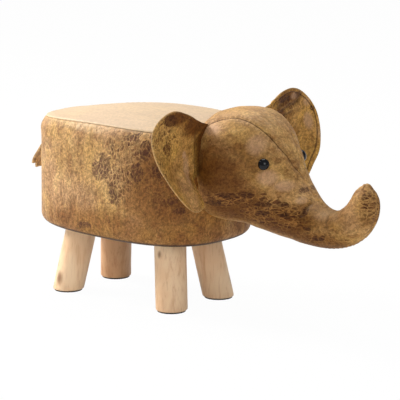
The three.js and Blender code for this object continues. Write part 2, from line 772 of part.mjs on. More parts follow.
function addLegs() {
  for (const corner of corners) {
    const { name, endSign, sideSign } = corner;
    const bolt = boltPoint(endSign, sideSign);
    const nailTool = nailSolid(gap).translate(endSign * legX, sideSign * legY, 0);
    const boltTool = boltSolid(gap).translate(bolt.x, bolt.y, 0);
    addPiece(`leg_${name}`, cutSolid(legSolid(corner), nailTool, boltTool), legWood);
    const pad = cutSolid(rod(padDiameter / 2, 0, padThickness, legSegments), nailSolid(gap));
    addPiece(`foot_pad_${name}`, pad.translate(endSign * legX, sideSign * legY, 0), padPlastic);
    addPiece(`pad_nail_${name}`, nailSolid(0).translate(endSign * legX, sideSign * legY, 0), steel);
    addPiece(`hanger_bolt_${name}`, boltSolid(0).translate(bolt.x, bolt.y, 0), steel);
    addPiece(`tee_nut_${name}`, teeNutSolid().translate(bolt.x, bolt.y, 0), steel);
  }
}

function addFrame() {
  const postY = bodyWidth / 2 - boardInset - postEdgeDistance - postWidth / 2;
  const boltTools = [];
  const lowScrews = [];
  const highScrews = [];
  for (const { name, endSign, sideSign } of corners) {
    const [x, y] = [(endSign * postSpacing) / 2, sideSign * postY];
    const bolt = boltPoint(endSign, sideSign);
    boltTools.push(rod(nutBarrelDiameter / 2 + gap, baseBottom - overrun, baseTop + overrun, fastenerSegments)
      .translate(bolt.x, bolt.y, 0));
    const low = (margin) => screwSolid(baseBottom, 1, margin).translate(x, y, 0);
    const high = (margin) => screwSolid(frameTop, -1, margin).translate(x, y, 0);
    lowScrews.push(low(gap));
    highScrews.push(high(gap));
    const post = boxSolid(
      new THREE.Vector3(x - postWidth / 2, y - postWidth / 2, postBottom),
      new THREE.Vector3(x + postWidth / 2, y + postWidth / 2, postTop),
    );
    addPiece(`post_${name}`, cutSolid(post, low(gap), high(gap)), plywood);
    addPiece(`base_screw_${name}`, low(0), steel);
    addPiece(`top_screw_${name}`, high(0), steel);
  }
  addPiece('base_board', cutSolid(board(baseBottom), ...boltTools, ...lowScrews), plywood);
  addPiece('seat_board', cutSolid(board(frameTop - boardThickness), ...highScrews), plywood);
  addPiece('side_wall', profileHoop([
    [wallOutset, wallBottom], [wallInset, wallBottom], [wallInset, frameTop], [wallOutset, frameTop],
  ]), hardboard);
}

function addUpholstery() {
  const under = sideProfile(foamOutset);
  const foamSide = profileBetween(under, wallBottom, frameTop);
  addPiece('side_foam', profileHoop([...foamSide, [foamInset, frameTop], [foamInset, wallBottom]]), foam);

  const padSide = profileBetween(under, frameTop + gap, under.at(-1)[1]);
  const padRings = padSide.map(([inset, z]) => outlineRing(inset, z));
  const padCrown = crownRings(under.at(-1)[0], under.at(-1)[1]).slice(0, -1).reverse();
  addPiece('seat_foam', loftSolid([...padRings, ...padCrown]), foam);

  const bandFace = sideProfile(0);
  const bandBack = sideProfile(coverThickness).reverse();
  addPiece('cover_side_band', profileHoop([...bandFace, ...bandBack]), leather);
  const panelBack = crownRings(shoulderInset, panelBottom);
  const panelFace = crownRings(shoulderInset, panelBottom + coverThickness).reverse();
  addPiece('cover_top_panel', loftSolid([...panelBack, ...panelFace]), leather);

  const dustSheet = loftSolid([
    outlineRing(dustCoverInset, dustCoverBottom),
    outlineRing(dustCoverInset, dustCoverBottom + dustCoverThickness),
  ]);
  const boltHoles = corners.map(({ endSign, sideSign }) => {
    const bolt = boltPoint(endSign, sideSign);
    return boltSolid(gap).translate(bolt.x, bolt.y, 0);
  });
  addPiece('dust_cover', cutSolid(dustSheet, ...boltHoles), cloth);
}

addLegs();
addFrame();
addUpholstery();
addHead();
addEars();
addTail();

// The origin is on the floor, in the middle of the footstool's overall length
const bounds = new THREE.Box3().setFromObject(assembly, true);
assembly.position.set(-(bounds.min.x + bounds.max.x) / 2, 0, -bounds.min.z);

const footstool = new THREE.Group();
footstool.add(assembly);

export default footstool;
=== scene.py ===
# Elephant footstool: the looks. Shapes are worked out in millimetres from the middle of the four feet,
# with X towards the head, Y to the animal's left and Z up, and are turned into metres in the row frame.
import json
import math

import bmesh
import bpy
import numpy as np
from mathutils import Matrix, Vector, noise


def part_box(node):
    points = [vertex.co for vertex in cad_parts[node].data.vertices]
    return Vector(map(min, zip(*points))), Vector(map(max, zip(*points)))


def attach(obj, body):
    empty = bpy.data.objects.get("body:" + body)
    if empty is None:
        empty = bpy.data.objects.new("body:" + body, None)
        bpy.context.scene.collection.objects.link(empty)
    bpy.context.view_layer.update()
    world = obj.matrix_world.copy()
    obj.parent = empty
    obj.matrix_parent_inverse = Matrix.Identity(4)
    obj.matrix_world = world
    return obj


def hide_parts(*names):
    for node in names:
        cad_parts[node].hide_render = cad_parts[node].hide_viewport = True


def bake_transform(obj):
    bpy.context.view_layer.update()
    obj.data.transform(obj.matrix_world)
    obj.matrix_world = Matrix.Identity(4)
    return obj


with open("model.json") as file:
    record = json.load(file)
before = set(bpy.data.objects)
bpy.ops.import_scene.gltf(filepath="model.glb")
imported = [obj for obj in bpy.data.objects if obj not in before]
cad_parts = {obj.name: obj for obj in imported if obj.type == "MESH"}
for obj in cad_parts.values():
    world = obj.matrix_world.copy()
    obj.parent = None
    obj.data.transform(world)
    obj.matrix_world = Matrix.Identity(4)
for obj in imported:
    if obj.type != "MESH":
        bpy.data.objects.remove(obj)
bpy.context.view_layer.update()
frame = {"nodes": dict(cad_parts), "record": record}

band_low, band_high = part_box("cover_side_band")
ROW_X = (band_low.x + band_high.x) / 2 * 1000  # the feet's middle in the row frame

# Body
LENGTH, WIDTH, SQUARENESS, TAPER = 334, 218, 2.65, 0.09
BOTTOM, SEAM, FRAME_TOP = 102.7, 269.9, 237.5
SHOULDER, SHOULDER_INSET, BOTTOM_RADIUS, TURN_UNDER = 26, 8, 14, 14
ARCH, ARCH_FORWARD, CROWN, CROWN_POWER, COVER = 9, 16.5, 11.2, 2.2, 1.5

# Head
NECK_X, NECK_Z, HEAD_LENGTH, HEAD_DEPTH, HEAD_WIDTH, DROP = 140, 229.7, 272, 168, 164, 83.5
SECTIONS = [
    (0, 0, 0.52, 0.62, 2.6), (0.044, 0, 0.71, 0.74, 2.6), (0.108, 0.01, 0.886, 0.88, 2.5),
    (0.171, 0.07, 1.01, 1, 2.3), (0.25, 0.185, 1.018, 0.95, 2.1), (0.347, 0.372, 0.867, 0.74, 2),
    (0.434, 0.565, 0.7, 0.6, 2), (0.535, 0.755, 0.53, 0.49, 2), (0.631, 0.9, 0.41, 0.42, 2),
    (0.722, 0.977, 0.339, 0.366, 2), (0.806, 0.977, 0.312, 0.33, 2), (0.886, 0.886, 0.315, 0.317, 2),
    (0.945, 0.707, 0.3, 0.305, 2), (0.976, 0.49, 0.266, 0.256, 2), (0.984, 0.3, 0.215, 0.183, 2),
    (0.99, 0.125, 0.055, 0.058, 2),
]
FOREHEAD = [
    (-0.06, 0.73), (0.115, 0.668), (0.165, 0.625), (0.219, 0.575), (0.27, 0.515), (0.32, 0.468),
    (0.366, 0.422), (0.406, 0.37), (0.45, 0.292), (0.5, 0.205), (0.54, 0.125), (0.578, 0),
]
EYE_ALONG, EYE_ANGLE = 0.342, 41

# Ears
HINGE_X, HINGE_Y, EAR_BOTTOM, EAR_SPAN, EAR_HEIGHT, EAR_FORWARD = 170, 86, 156.7, 102.5, 156.5, 32
EAR_THICK, EAR_RIM_THICK, EAR_CUP, EAR_STITCH = 9, 3.6, 1.7, 5.8
EAR_RIM = [
    (0, 0.885, 0.13), (0.09, 0.921, 0.12), (0.208, 0.954, 0.075), (0.346, 0.983, 0.09), (0.49, 0.994, 0.13),
    (0.65, 0.969, 0.122), (0.815, 0.907, 0.12), (0.935, 0.827, 0.19), (0.992, 0.731, 0.345),
    (0.988, 0.619, 0.53), (0.933, 0.498, 0.73), (0.827, 0.378, 0.91), (0.673, 0.262, 0.94),
    (0.508, 0.155, 1), (0.342, 0.09, 1.045), (0.19, 0.096, 1), (0.085, 0.125, 0.88), (0.03, 0.207, 0.45),
    (0, 0.31, 0),
]
EAR_MIDDLE = (0.46, 0.55, -0.06)
EAR_FOLDS = [((92, 284), (128, 298)), ((100, 279), (152, 291)),
             ((106, 271), (140, 277)), ((150, 292), (160, 302))]  # across and up, on the left ear

# Tail
TAIL_X, TAIL_Z, TAIL_LENGTH, TAIL_ROOT, TAIL_TIP, TAIL_LEAN = -169.8, 237.7, 82, 20, 33, 35
TAIL_HALF_THICK, TAIL_STITCH_SHARE, TAIL_SLIT_SHARE, TAIL_SPLIT_SHARE = 2.15, 0.78, 0.53, 0.8

# Legs
LEG_X, LEG_Y, LEG_RADIUS, LEG_LOW, LEG_TALL, LEG_SPLAY = 102, 54, 23.5, 2.3, 99, 9


def wobble(p, scale, seed=0.0):
    return noise.noise(Vector((p[0] * scale + seed, p[1] * scale - seed, p[2] * scale + 2 * seed)))


def wobbles(points, scale, seed=0.0):
    flat = np.asarray(points, float).reshape(-1, 3)
    return np.array([wobble(p, scale, seed) for p in flat]).reshape(np.asarray(points).shape[:-1])


def add(thing):
    bpy.context.scene.collection.objects.link(thing)
    return thing


# Mesh making

# A mesh carries its distance from a seam in millimetres plus FAR, so one without a seam reads as far away
FAR = 100.0


def mesh_object(name, points, faces, attributes=None):
    """A smooth mesh object from points in millimetres about the feet's middle."""
    mesh = bpy.data.meshes.new(name)
    flat = np.asarray(points, float).reshape(-1, 3)
    metres = (flat + np.array([ROW_X, 0, 0])) / 1000
    mesh.from_pydata([tuple(p) for p in metres], [], [tuple(int(i) for i in f) for f in faces])
    mesh.validate()
    mesh.polygons.foreach_set("use_smooth", [True] * len(mesh.polygons))
    for key, values in (attributes or {}).items():
        layer = mesh.attributes.new(key, "FLOAT", "POINT")
        layer.data.foreach_set("value", np.asarray(values, np.float32).ravel())
    mesh.update()
    return add(bpy.data.objects.new(name, mesh))


def grid_faces(rows, cols, start=0, flip=False):
    """Quads between closed rows of points, each row cols points long."""
    faces = []
    for i in range(rows - 1):
        a, b = start + i * cols, start + (i + 1) * cols
        for j in range(cols):
            k = (j + 1) % cols
            quad = (a + j, a + k, b + k, b + j)
            faces.append(quad[::-1] if flip else quad)
    return faces


def fan_faces(middle, start, cols, flip=False):
    faces = [(middle, start + j, start + (j + 1) % cols) for j in range(cols)]
    return [f[::-1] for f in faces] if flip else faces


def grid_normals(grid):
    """Unit normals of a grid of points, with closed rows."""
    across = np.roll(grid, -1, axis=1) - np.roll(grid, 1, axis=1)
    normal = np.cross(across, np.gradient(grid, axis=0))
    return normal / np.maximum(np.linalg.norm(normal, axis=2, keepdims=True), 1e-9)


def fix_normals(piece):
    bm = bmesh.new()
    bm.from_mesh(piece.data)
    bmesh.ops.recalc_face_normals(bm, faces=bm.faces)
    bm.to_mesh(piece.data)
    bm.free()
    piece.data.update()


def spline(table, t, centripetal=False):
    """Catmull-Rom through a table of rows, at values of t from 0 to 1."""
    table = np.asarray(table, float)
    out = []
    for value in np.atleast_1d(t):
        place = min(max(value, 0), 1) * (len(table) - 1)
        i = min(int(place), len(table) - 2)
        w = place - i
        p1, p2 = table[i], table[i + 1]
        p0 = table[i - 1] if i > 0 else p1 - (p2 - p1)
        p3 = table[i + 2] if i + 2 < len(table) else p2 + (p2 - p1)
        if centripetal:
            d0, d1, d2 = (max(np.linalg.norm(b - a), 1e-4) ** 0.5 for a, b in ((p0, p1), (p1, p2), (p2, p3)))
            t1 = ((p1 - p0) / d0 - (p2 - p0) / (d0 + d1) + (p2 - p1) / d1) * d1
            t2 = ((p2 - p1) / d1 - (p3 - p1) / (d1 + d2) + (p3 - p2) / d2) * d1
        else:
            t1, t2 = (p2 - p0) / 2, (p3 - p1) / 2
        out.append(p1 + t1 * w + (-3 * p1 + 3 * p2 - 2 * t1 - t2) * w ** 2
                   + (2 * p1 - 2 * p2 + t1 + t2) * w ** 3)
    return np.array(out)


def smooth_step(low, high, value):
    t = np.clip((np.asarray(value, float) - low) / (high - low), 0, 1)
    return t * t * (3 - 2 * t)


def near_line(points, start, end, width):
    """1 on the line from start to end, falling away over width."""
    start, end = np.asarray(start, float), np.asarray(end, float)
    run = end - start
    share = np.clip(((points - start) @ run) / (run @ run), 0, 1)
    distance = np.linalg.norm(points - (start + share[..., None] * run), axis=-1)
    return np.exp(-(distance / width) ** 2)


# Materials

class Nodes:
    """Short hand for building one material's node tree."""

    def __init__(self, name):
        self.material = bpy.data.materials.new(name)
        self.material.use_nodes = True
        self.tree = self.material.node_tree
        self.shader = self.tree.nodes["Principled BSDF"]
        self.object = self.new("ShaderNodeTexCoord").outputs["Object"]

    def new(self, kind, **values):
        node = self.tree.nodes.new(kind)
        for key, value in values.items():
            setattr(node, key, value)
        return node

    def link(self, source, socket):
        if isinstance(source, (int, float, tuple)):
            socket.default_value = source
        else:
            self.tree.links.new(source, socket)

    def math(self, operation, a, b=0.0, clamp=False):
        node = self.new("ShaderNodeMath", operation=operation, use_clamp=clamp)
        for source, socket in zip((a, b), node.inputs):
            self.link(source, socket)
        return node.outputs[0]

    def times(self, a, b, clamp=False):
        return self.math("MULTIPLY", a, b, clamp)

    def plus(self, a, b, clamp=False):
        return self.math("ADD", a, b, clamp)

    def most(self, a, b):
        return self.math("MAXIMUM", a, b)

    def vector(self, operation, a, b=(0, 0, 0)):
        node = self.new("ShaderNodeVectorMath", operation=operation)
        self.link(a, node.inputs[0])
        self.link(b, node.inputs[1])
        return node.outputs["Value" if operation in ("LENGTH", "DISTANCE") else 0]

    def scaled(self, factors):
        """The place on the object times a factor for each axis."""
        return self.vector("MULTIPLY", self.object, factors)

    def noise(self, scale, detail=3.0, rough=0.5, at=None):
        node = self.new("ShaderNodeTexNoise")
        self.link(at or self.object, node.inputs["Vector"])
        node.inputs["Scale"].default_value = scale
        node.inputs["Detail"].default_value = detail
        node.inputs["Roughness"].default_value = rough
        return node.outputs["Fac"]

    def cells(self, scale, at):
        """Distance to the nearest edge of a pattern of cells."""
        node = self.new("ShaderNodeTexVoronoi", feature="DISTANCE_TO_EDGE")
        self.link(at, node.inputs["Vector"])
        node.inputs["Scale"].default_value = scale
        return node.outputs["Distance"]

    def ramp(self, value, low, high, to_low=0.0, to_high=1.0):
        node = self.new("ShaderNodeMapRange", interpolation_type="SMOOTHSTEP")
        for source, key in ((value, "Value"), (low, "From Min"), (high, "From Max"),
                            (to_low, "To Min"), (to_high, "To Max")):
            self.link(source, node.inputs[key])
        return node.outputs["Result"]

    def mix(self, fac, a, b, blend="MIX"):
        node = self.new("ShaderNodeMix", data_type="RGBA", blend_type=blend)
        self.link(fac, node.inputs[0])
        self.link(a, node.inputs[6])
        self.link(b, node.inputs[7])
        return node.outputs[2]

    def attribute(self, name):
        return self.new("ShaderNodeAttribute", attribute_name=name).outputs["Fac"]

    def cell_tone(self, scale, at):
        """One random level for each cell of the same pattern as cells()."""
        node = self.new("ShaderNodeTexVoronoi", feature="F1")
        self.link(at, node.inputs["Vector"])
        node.inputs["Scale"].default_value = scale
        split = self.new("ShaderNodeSeparateColor")
        self.link(node.outputs["Color"], split.inputs[0])
        return split.outputs[0]

    def triple(self, value, kind):
        """The same value on all three axes or channels."""
        node = self.new(kind)
        for socket in node.inputs[:3]:
            self.link(value, socket)
        return node.outputs[0]

    def spread(self, value, amount):
        """A vector with the same centred value on all three axes."""
        moved = self.times(self.math("SUBTRACT", value, 0.5), amount)
        return self.triple(moved, "ShaderNodeCombineXYZ")

    def seam_line(self):
        """1 on a seam, from the distance in millimetres that the mesh carries, and 0 away from it."""
        total = 0.0
        for name in ("seam", "middle"):
            distance = self.math("ABSOLUTE", self.math("SUBTRACT", self.attribute(name), FAR))
            line = self.times(self.ramp(distance, 0.35, 1.1, 1.0, 0.0), self.attribute(name + "_strength"))
            total = self.most(total, line)
        return total

    def bump(self, height, strength, distance):
        node = self.new("ShaderNodeBump")
        self.link(height, node.inputs["Height"])
        node.inputs["Strength"].default_value = strength
        node.inputs["Distance"].default_value = distance
        return node.outputs["Normal"]

    def finish(self, colour=None, roughness=None, normal=None, **fixed):
        for source, key in ((colour, "Base Color"), (roughness, "Roughness"), (normal, "Normal")):
            if source is not None:
                self.link(source, self.shader.inputs[key])
        for key, value in fixed.items():
            self.shader.inputs[key.replace("_", " ")].default_value = value
        return self.material


def rgb(r, g, b):
    """Linear colour from 0-255 display values."""
    shares = [v / 255 for v in (r, g, b)]
    return tuple(v / 12.92 if v <= 0.04 else ((v + 0.055) / 1.055) ** 2.4 for v in shares) + (1,)


def zone_mask(n, zones):
    """Soft blobs round places given about the feet's middle in millimetres, the same on both sides."""
    split = n.new("ShaderNodeSeparateXYZ")
    n.link(n.object, split.inputs[0])
    joined = n.new("ShaderNodeCombineXYZ")
    n.link(split.outputs[0], joined.inputs[0])
    n.link(n.math("ABSOLUTE", split.outputs[1]), joined.inputs[1])
    n.link(split.outputs[2], joined.inputs[2])
    total = 0.0
    for (x, y, z), (rx, ry, rz), strength in zones:
        offset = n.vector("SUBTRACT", joined.outputs[0], ((x + ROW_X) / 1000, y / 1000, z / 1000))
        scaled = n.vector("MULTIPLY", offset, (1000 / rx, 1000 / ry, 1000 / rz))
        total = n.most(total, n.ramp(n.vector("LENGTH", scaled), 0.35, 1.0, strength, 0.0))
    return total


def leather(name, worn=0.2, crackle=(), dark=(), soft=(), blots=(), streaks=(), stretch=(1, 1, 1), pale=0.0,
            cells=170, deep=0.5, dye=(1, 1, 1), deep_dye_and_shade=(1, 1, 1), grain_level=1.0, cell_depth=0.85,
            specular=0.35, painted_top_light=0.0, hatch=0.0, cell_colour=(116, 76, 50), line=(218, 180, 122),
            deep_line=(158, 112, 58)):
    """Distressed faux leather. Its ground is tan with a fine grain of darker flecks; in its crackle zones
    dark cells show between light lines; dark zones are dyed deeper, partly as painted shade, soft zones are
    smooth and greyish pink, partly as a painted highlight, blots are single dark patches crossed by thin
    light lines, and streaks are pale and run down. Faces that look up get painted top light, and hatch is the
    strength of a fine grain that runs down."""
    n = Nodes(name)
    at = n.scaled(stretch)
    shake = n.spread(n.noise(120, 2.0), 0.008)
    shaken = n.vector("ADD", at, shake)
    broad = n.noise(16, 3.0, 0.55)
    mottle = n.noise(55, 4.0, 0.62, at=shaken)
    flecks = n.noise(250, 3.0, 0.65, at=n.vector("ADD", n.object, shake))
    fine = n.noise(650, 2.0, 0.6)

    zone = n.plus(zone_mask(n, crackle), worn, clamp=True) if crackle else worn
    ragged = n.times(zone, n.ramp(mottle, 0.36, 0.54, 0.3, 1.3), clamp=True)
    shade = zone_mask(n, dark) if dark else 0.0
    smooth = zone_mask(n, soft) if soft else 0.0

    tan = n.mix(n.ramp(broad, 0.35, 0.65), rgb(180, 140, 100), rgb(190, 150, 92))
    tan = n.mix(n.ramp(mottle, 0.45, 0.68, 0.0, 0.8), tan, rgb(140, 98, 58))
    tan = n.mix(n.ramp(mottle, 0.44, 0.3, 0.0, 0.55), tan, rgb(212, 176, 122))
    # Dark zones mix the tan towards deep brown: partly a deeper dye, partly painted shade.
    tan = n.mix(n.times(shade, deep), tan, rgb(112, 70, 32))

    edge = n.cells(cells, at=shaken)
    small_edge = n.cells(cells * 1.9, at=shaken)
    tone = n.cell_tone(cells, at=shaken)
    patch = n.cell_tone(cells * 0.4, at=shaken)
    dyed = n.most(n.ramp(tone, 0.0, 0.6), n.ramp(patch, 0.6, 0.72))
    cell = n.times(dyed, n.ramp(edge, 0.04, 0.2), clamp=True)
    dark_brown = n.mix(n.ramp(patch, 0.5, 0.9), rgb(*cell_colour), rgb(*[v * 0.94 for v in cell_colour]))
    colour = n.mix(n.times(cell, n.times(ragged, cell_depth)), tan, dark_brown)
    lines = n.most(n.ramp(edge, 0.03, 0.15, 1.0, 0.0), n.ramp(small_edge, 0.03, 0.15, 0.35, 0.0))
    creases = n.ramp(n.cells(cells * 0.36, at=at), 0.005, 0.04, 1.0, 0.0)
    lines = n.times(n.most(lines, creases), n.times(ragged, 0.68), clamp=True)
    # In dark zones the lines turn deeper too, partly as painted shade.
    line_colour = n.mix(shade, rgb(*line), rgb(*deep_line))
    if blots:
        uneven = n.plus(n.times(tone, 0.45), n.times(mottle, 0.7))
        spot = n.ramp(n.plus(zone_mask(n, blots), uneven), 1.0, 1.14, 0.0, 0.86)
        crossing = n.ramp(n.cells(cells * 0.62, at=at), 0.02, 0.06, 0.5, 1.0)
        crossed = n.times(n.ramp(edge, 0.02, 0.09, 0.45, 1.0), crossing)
        colour = n.mix(n.times(spot, crossed), colour, rgb(*[v * 0.88 for v in cell_colour]))
        lines = n.times(lines, n.ramp(spot, 0.0, 0.8, 1.0, 0.3))

    grain = n.times(n.ramp(flecks, 0.36, 0.64, 1.26, 0.66), n.ramp(fine, 0.36, 0.64, 1.14, 0.86))
    level = n.math("SUBTRACT", grain_level, n.times(smooth, 0.5 * grain_level)) if soft else grain_level
    grain = n.plus(n.times(n.math("SUBTRACT", grain, 1.0), level), 1)
    if hatch:
        threads = n.noise(430, 2.0, 0.6, at=n.scaled((1, 1, 0.22)))
        grain = n.times(grain, n.ramp(threads, 0.38, 0.62, 1 + hatch, 1 - hatch))
    # The dye, and in dark zones a deeper dye that is partly painted shade.
    colour = n.mix(1.0, colour, n.mix(shade, dye + (1,), deep_dye_and_shade + (1,)), "MULTIPLY")
    # Soft zones go smooth and greyish pink: partly the leather's own smooth patches, partly a painted
    # highlight.
    colour = n.mix(n.times(smooth, 0.6), colour, rgb(202, 160, 126))
    colour = n.mix(lines, colour, line_colour)
    colour = n.mix(1.0, colour, n.triple(grain, "ShaderNodeCombineColor"), "MULTIPLY")
    if streaks:
        brushed = n.noise(150, 3.0, 0.6, at=n.scaled((1, 1, 0.09)))
        brushed = n.times(n.ramp(brushed, 0.4, 0.66), zone_mask(n, streaks))
        colour = n.mix(n.times(brushed, 0.7), colour, rgb(232, 200, 154))
    # Painted top light: faces that look up are painted paler.
    if painted_top_light:
        facing = n.new("ShaderNodeSeparateXYZ")
        n.link(n.new("ShaderNodeNewGeometry").outputs["Normal"], facing.inputs[0])
        colour = n.mix(n.ramp(facing.outputs[2], 0.35, 0.98, 0.0, painted_top_light), colour, rgb(232, 204, 166))
    # Pale: the tail's paler leather, and on the seat partly a paler panel, partly painted sheen from the top
    # light.
    colour = n.mix(pale, colour, rgb(246, 222, 190))
    # Painted highlight: the light attribute paints a light line along the seat's puffed rim and the ears'
    # rims.
    colour = n.mix(n.attribute("light"), colour, rgb(240, 208, 152))
    # Painted shade: the shade attribute paints dark brown into creases, recesses, the ears' backs and under
    # the body's bottom edge.
    colour = n.mix(n.attribute("shade"), colour, rgb(52, 32, 14))
    stitched = n.seam_line()
    colour = n.mix(n.times(stitched, 0.85), colour, rgb(50, 30, 16))

    height = n.plus(n.times(fine, 0.3), n.times(flecks, 0.45))
    height = n.math("SUBTRACT", height, n.times(n.times(cell, ragged), 0.35))
    height = n.math("SUBTRACT", height, n.times(stitched, 1.2))
    rough = n.ramp(flecks, 0.3, 0.7, 0.5, 0.66)
    return n.finish(colour, rough, n.bump(height, 0.4, 0.0009), Specular_IOR_Level=specular)


KNOTS = [(-102, -76, 22, 5), (-86, -79, 9, 4), (88, -66, 84, 2.6), (-92, 72, 40, 5),
         (118, 66, 30, 5), (-121, 60, 66, 4)]  # place and radius


def log_wood(name, dye):
    """Peeled pale log with long grain, a few knots and pinkish heartwood streaks."""
    n = Nodes(name)
    long_way = n.scaled((1, 1, 0.07))
    shaken = n.vector("ADD", long_way, n.spread(n.noise(30, 2.0), 0.004))
    streak = n.noise(110, 5.0, 0.6, at=shaken)
    hair = n.noise(420, 3.0, 0.6, at=shaken)
    broad = n.noise(20, 2.0, 0.5)
    wood = n.mix(n.ramp(broad, 0.35, 0.65), rgb(238, 206, 174), rgb(246, 222, 194))
    wood = n.mix(n.ramp(streak, 0.48, 0.72, 0.0, 0.55), wood, rgb(212, 166, 128))
    wood = n.mix(n.ramp(hair, 0.5, 0.75, 0.0, 0.35), wood, rgb(190, 140, 98))
    knots = 0.0
    for x, y, z, radius in KNOTS:
        offset = n.vector("SUBTRACT", n.object, ((x + ROW_X) / 1000, y / 1000, z / 1000))
        scaled = n.vector("MULTIPLY", offset, (1000 / radius, 1000 / radius, 620 / radius))
        knots = n.most(knots, n.ramp(n.vector("LENGTH", scaled), 0.4, 2.0, 1.0, 0.0))
    wood = n.mix(n.times(knots, 0.8), wood, rgb(122, 78, 46))
    wood = n.mix(1.0, wood, dye + (1,), "MULTIPLY")
    height = n.plus(n.times(streak, 0.5), n.times(hair, 0.3))
    return n.finish(wood, n.ramp(hair, 0.3, 0.7, 0.45, 0.6), n.bump(height, 0.25, 0.0006),
                    Specular_IOR_Level=0.4)


def plain(name, colour, second, scale, roughness, metal=0.0, stretch=(1, 1, 1), strength=0.2):
    """Two-tone procedural finish for hidden and small pieces."""
    n = Nodes(name)
    tone = n.noise(scale, 4.0, 0.6, at=n.scaled(stretch))
    mixed = n.mix(n.ramp(tone, 0.35, 0.65), colour, second)
    return n.finish(mixed, n.ramp(tone, 0.3, 0.7, roughness * 0.85, min(roughness * 1.15, 1.0)),
                    n.bump(tone, strength, 0.0004), Metallic=metal)


leather_side = leather(
    "leather_side", worn=0.05, cells=185, stretch=(1, 1, 0.62), dye=(1.04, 1.02, 0.95), painted_top_light=0.3,
    deep_dye_and_shade=(0.9, 0.72, 0.38), hatch=0.1, cell_depth=1.0, cell_colour=(106, 68, 50), specular=0.26,
    crackle=[((58, 108, 220), (46, 50, 58), 1), ((92, 108, 250), (52, 50, 30), 1),
             ((20, 108, 206), (26, 50, 36), 0.7), ((44, 108, 176), (30, 50, 26), 0.6),
             ((120, 100, 200), (40, 40, 60), 0.35)],
    blots=[((23, 110, 213), (19, 40, 28), 1), ((83, 107, 211), (16, 40, 20), 1),
           ((97, 105, 244), (12, 40, 20), 1), ((78, 108, 260), (10, 30, 10), 0.9),
           ((39, 110, 176), (13, 30, 24), 0.75), ((5, 110, 206), (11, 30, 18), 0.8),
           ((116, 104, 215), (13, 30, 18), 0.8), ((134, 98, 172), (18, 30, 9), 0.8),
           ((146, 92, 158), (20, 30, 8), 0.75), ((-20, 108, 120), (26, 30, 8), 0.7)],
    streaks=[((-165, 20, 190), (60, 110, 120), 0.5), ((-14, 108, 266), (54, 40, 11), 1)],
    # Dark zones: partly deeper dye, partly painted shade beside and under the head, and darker towards the
    # bottom of the band.
    dark=[((130, 90, 190), (115, 110, 110), 1), ((150, 60, 130), (100, 90, 60), 0.9),
          ((20, 105, 118), (200, 60, 44), 0.75), ((70, 105, 235), (60, 60, 50), 0.4)])
# The seat is painted pale: partly a paler panel, partly painted sheen from the top light.
leather_seat = leather("leather_seat", worn=0.02, stretch=(0.35, 1, 1), pale=0.5, dye=(0.66, 0.65, 0.7),
                       streaks=[((-60, 0, 280), (120, 90, 30), 0.3)])
leather_head = leather(
    "leather_head", worn=0.1, stretch=(0.55, 1, 1.45), cells=150, deep=0.75, dye=(1.0, 0.95, 0.8),
    deep_dye_and_shade=(0.54, 0.39, 0.14), specular=0.13, cell_depth=1.0, grain_level=0.85, painted_top_light=0.14, hatch=0.06,
    cell_colour=(92, 54, 32), line=(190, 144, 84), deep_line=(156, 108, 54),
    crackle=[((250, 50, 186), (62, 34, 15), 1), ((292, 38, 162), (46, 36, 26), 1),
             ((255, 44, 160), (46, 34, 22), 0.9), ((314, 14, 192), (18, 16, 12), 0.5),
             ((428, 10, 198), (24, 40, 36), 0.8), ((212, 66, 180), (36, 34, 18), 0.8),
             ((350, 30, 140), (40, 30, 22), 0.5)],
    blots=[((215, 64, 187), (19, 26, 7), 1), ((242, 55, 190), (18, 26, 7), 1),
           ((264, 47, 179), (19, 26, 7), 1), ((292, 38, 181), (13, 24, 6), 1),
           ((346, 27, 137), (16, 22, 6), 0.9), ((384, 26, 142), (20, 22, 6), 0.6),
           ((330, 30, 150), (12, 22, 5), 0.7), ((190, 66, 175), (20, 26, 8), 0.8),
           ((296, 38, 164), (14, 20, 5), 0.9), ((309, 11, 200), (8, 14, 6), 0.9),
           ((323, 24, 173), (6, 16, 9), 0.9), ((262, 44, 166), (14, 22, 5), 0.9)],
    # Dark zones: partly deeper dye, partly painted shade on the cheek behind the ear, under the jaw and under
    # the trunk.
    dark=[((208, 75, 205), (56, 60, 78), 0.9), ((228, 60, 170), (80, 60, 54), 1),
          ((290, 45, 155), (84, 60, 36), 1), ((345, 25, 130), (70, 50, 26), 0.8),
          ((237, 65, 234), (50, 44, 46), 0.55), ((432, 10, 185), (30, 40, 40), 0.3),
          ((352, 14, 166), (60, 50, 30), 0.4)],
    # Soft zones: smooth pinkish patches round the eye and face, partly a painted highlight, and a painted
    # highlight on the head under the ear's top.
    soft=[((251, 44, 262), (17, 26, 20), 0.9), ((270, 44, 217), (19, 26, 15), 1),
          ((290, 32, 206), (18, 24, 11), 1), ((184, 61, 279), (22, 26, 12), 1),
          ((314, 22, 187), (10, 16, 6), 0.9), ((345, 16, 168), (14, 16, 8), 0.3)],
    streaks=[((262, 0, 300), (60, 60, 22), 0.3)])


def ear_leather(side, **zones):
    return leather(f"leather_ear_{side}", cells=165, deep=0.8, dye=(1.1, 0.99, 0.6), specular=0.2,
                   deep_dye_and_shade=(0.7, 0.5, 0.2), cell_colour=(96, 58, 34), line=(204, 160, 88),
                   deep_line=(140, 98, 44), **zones)


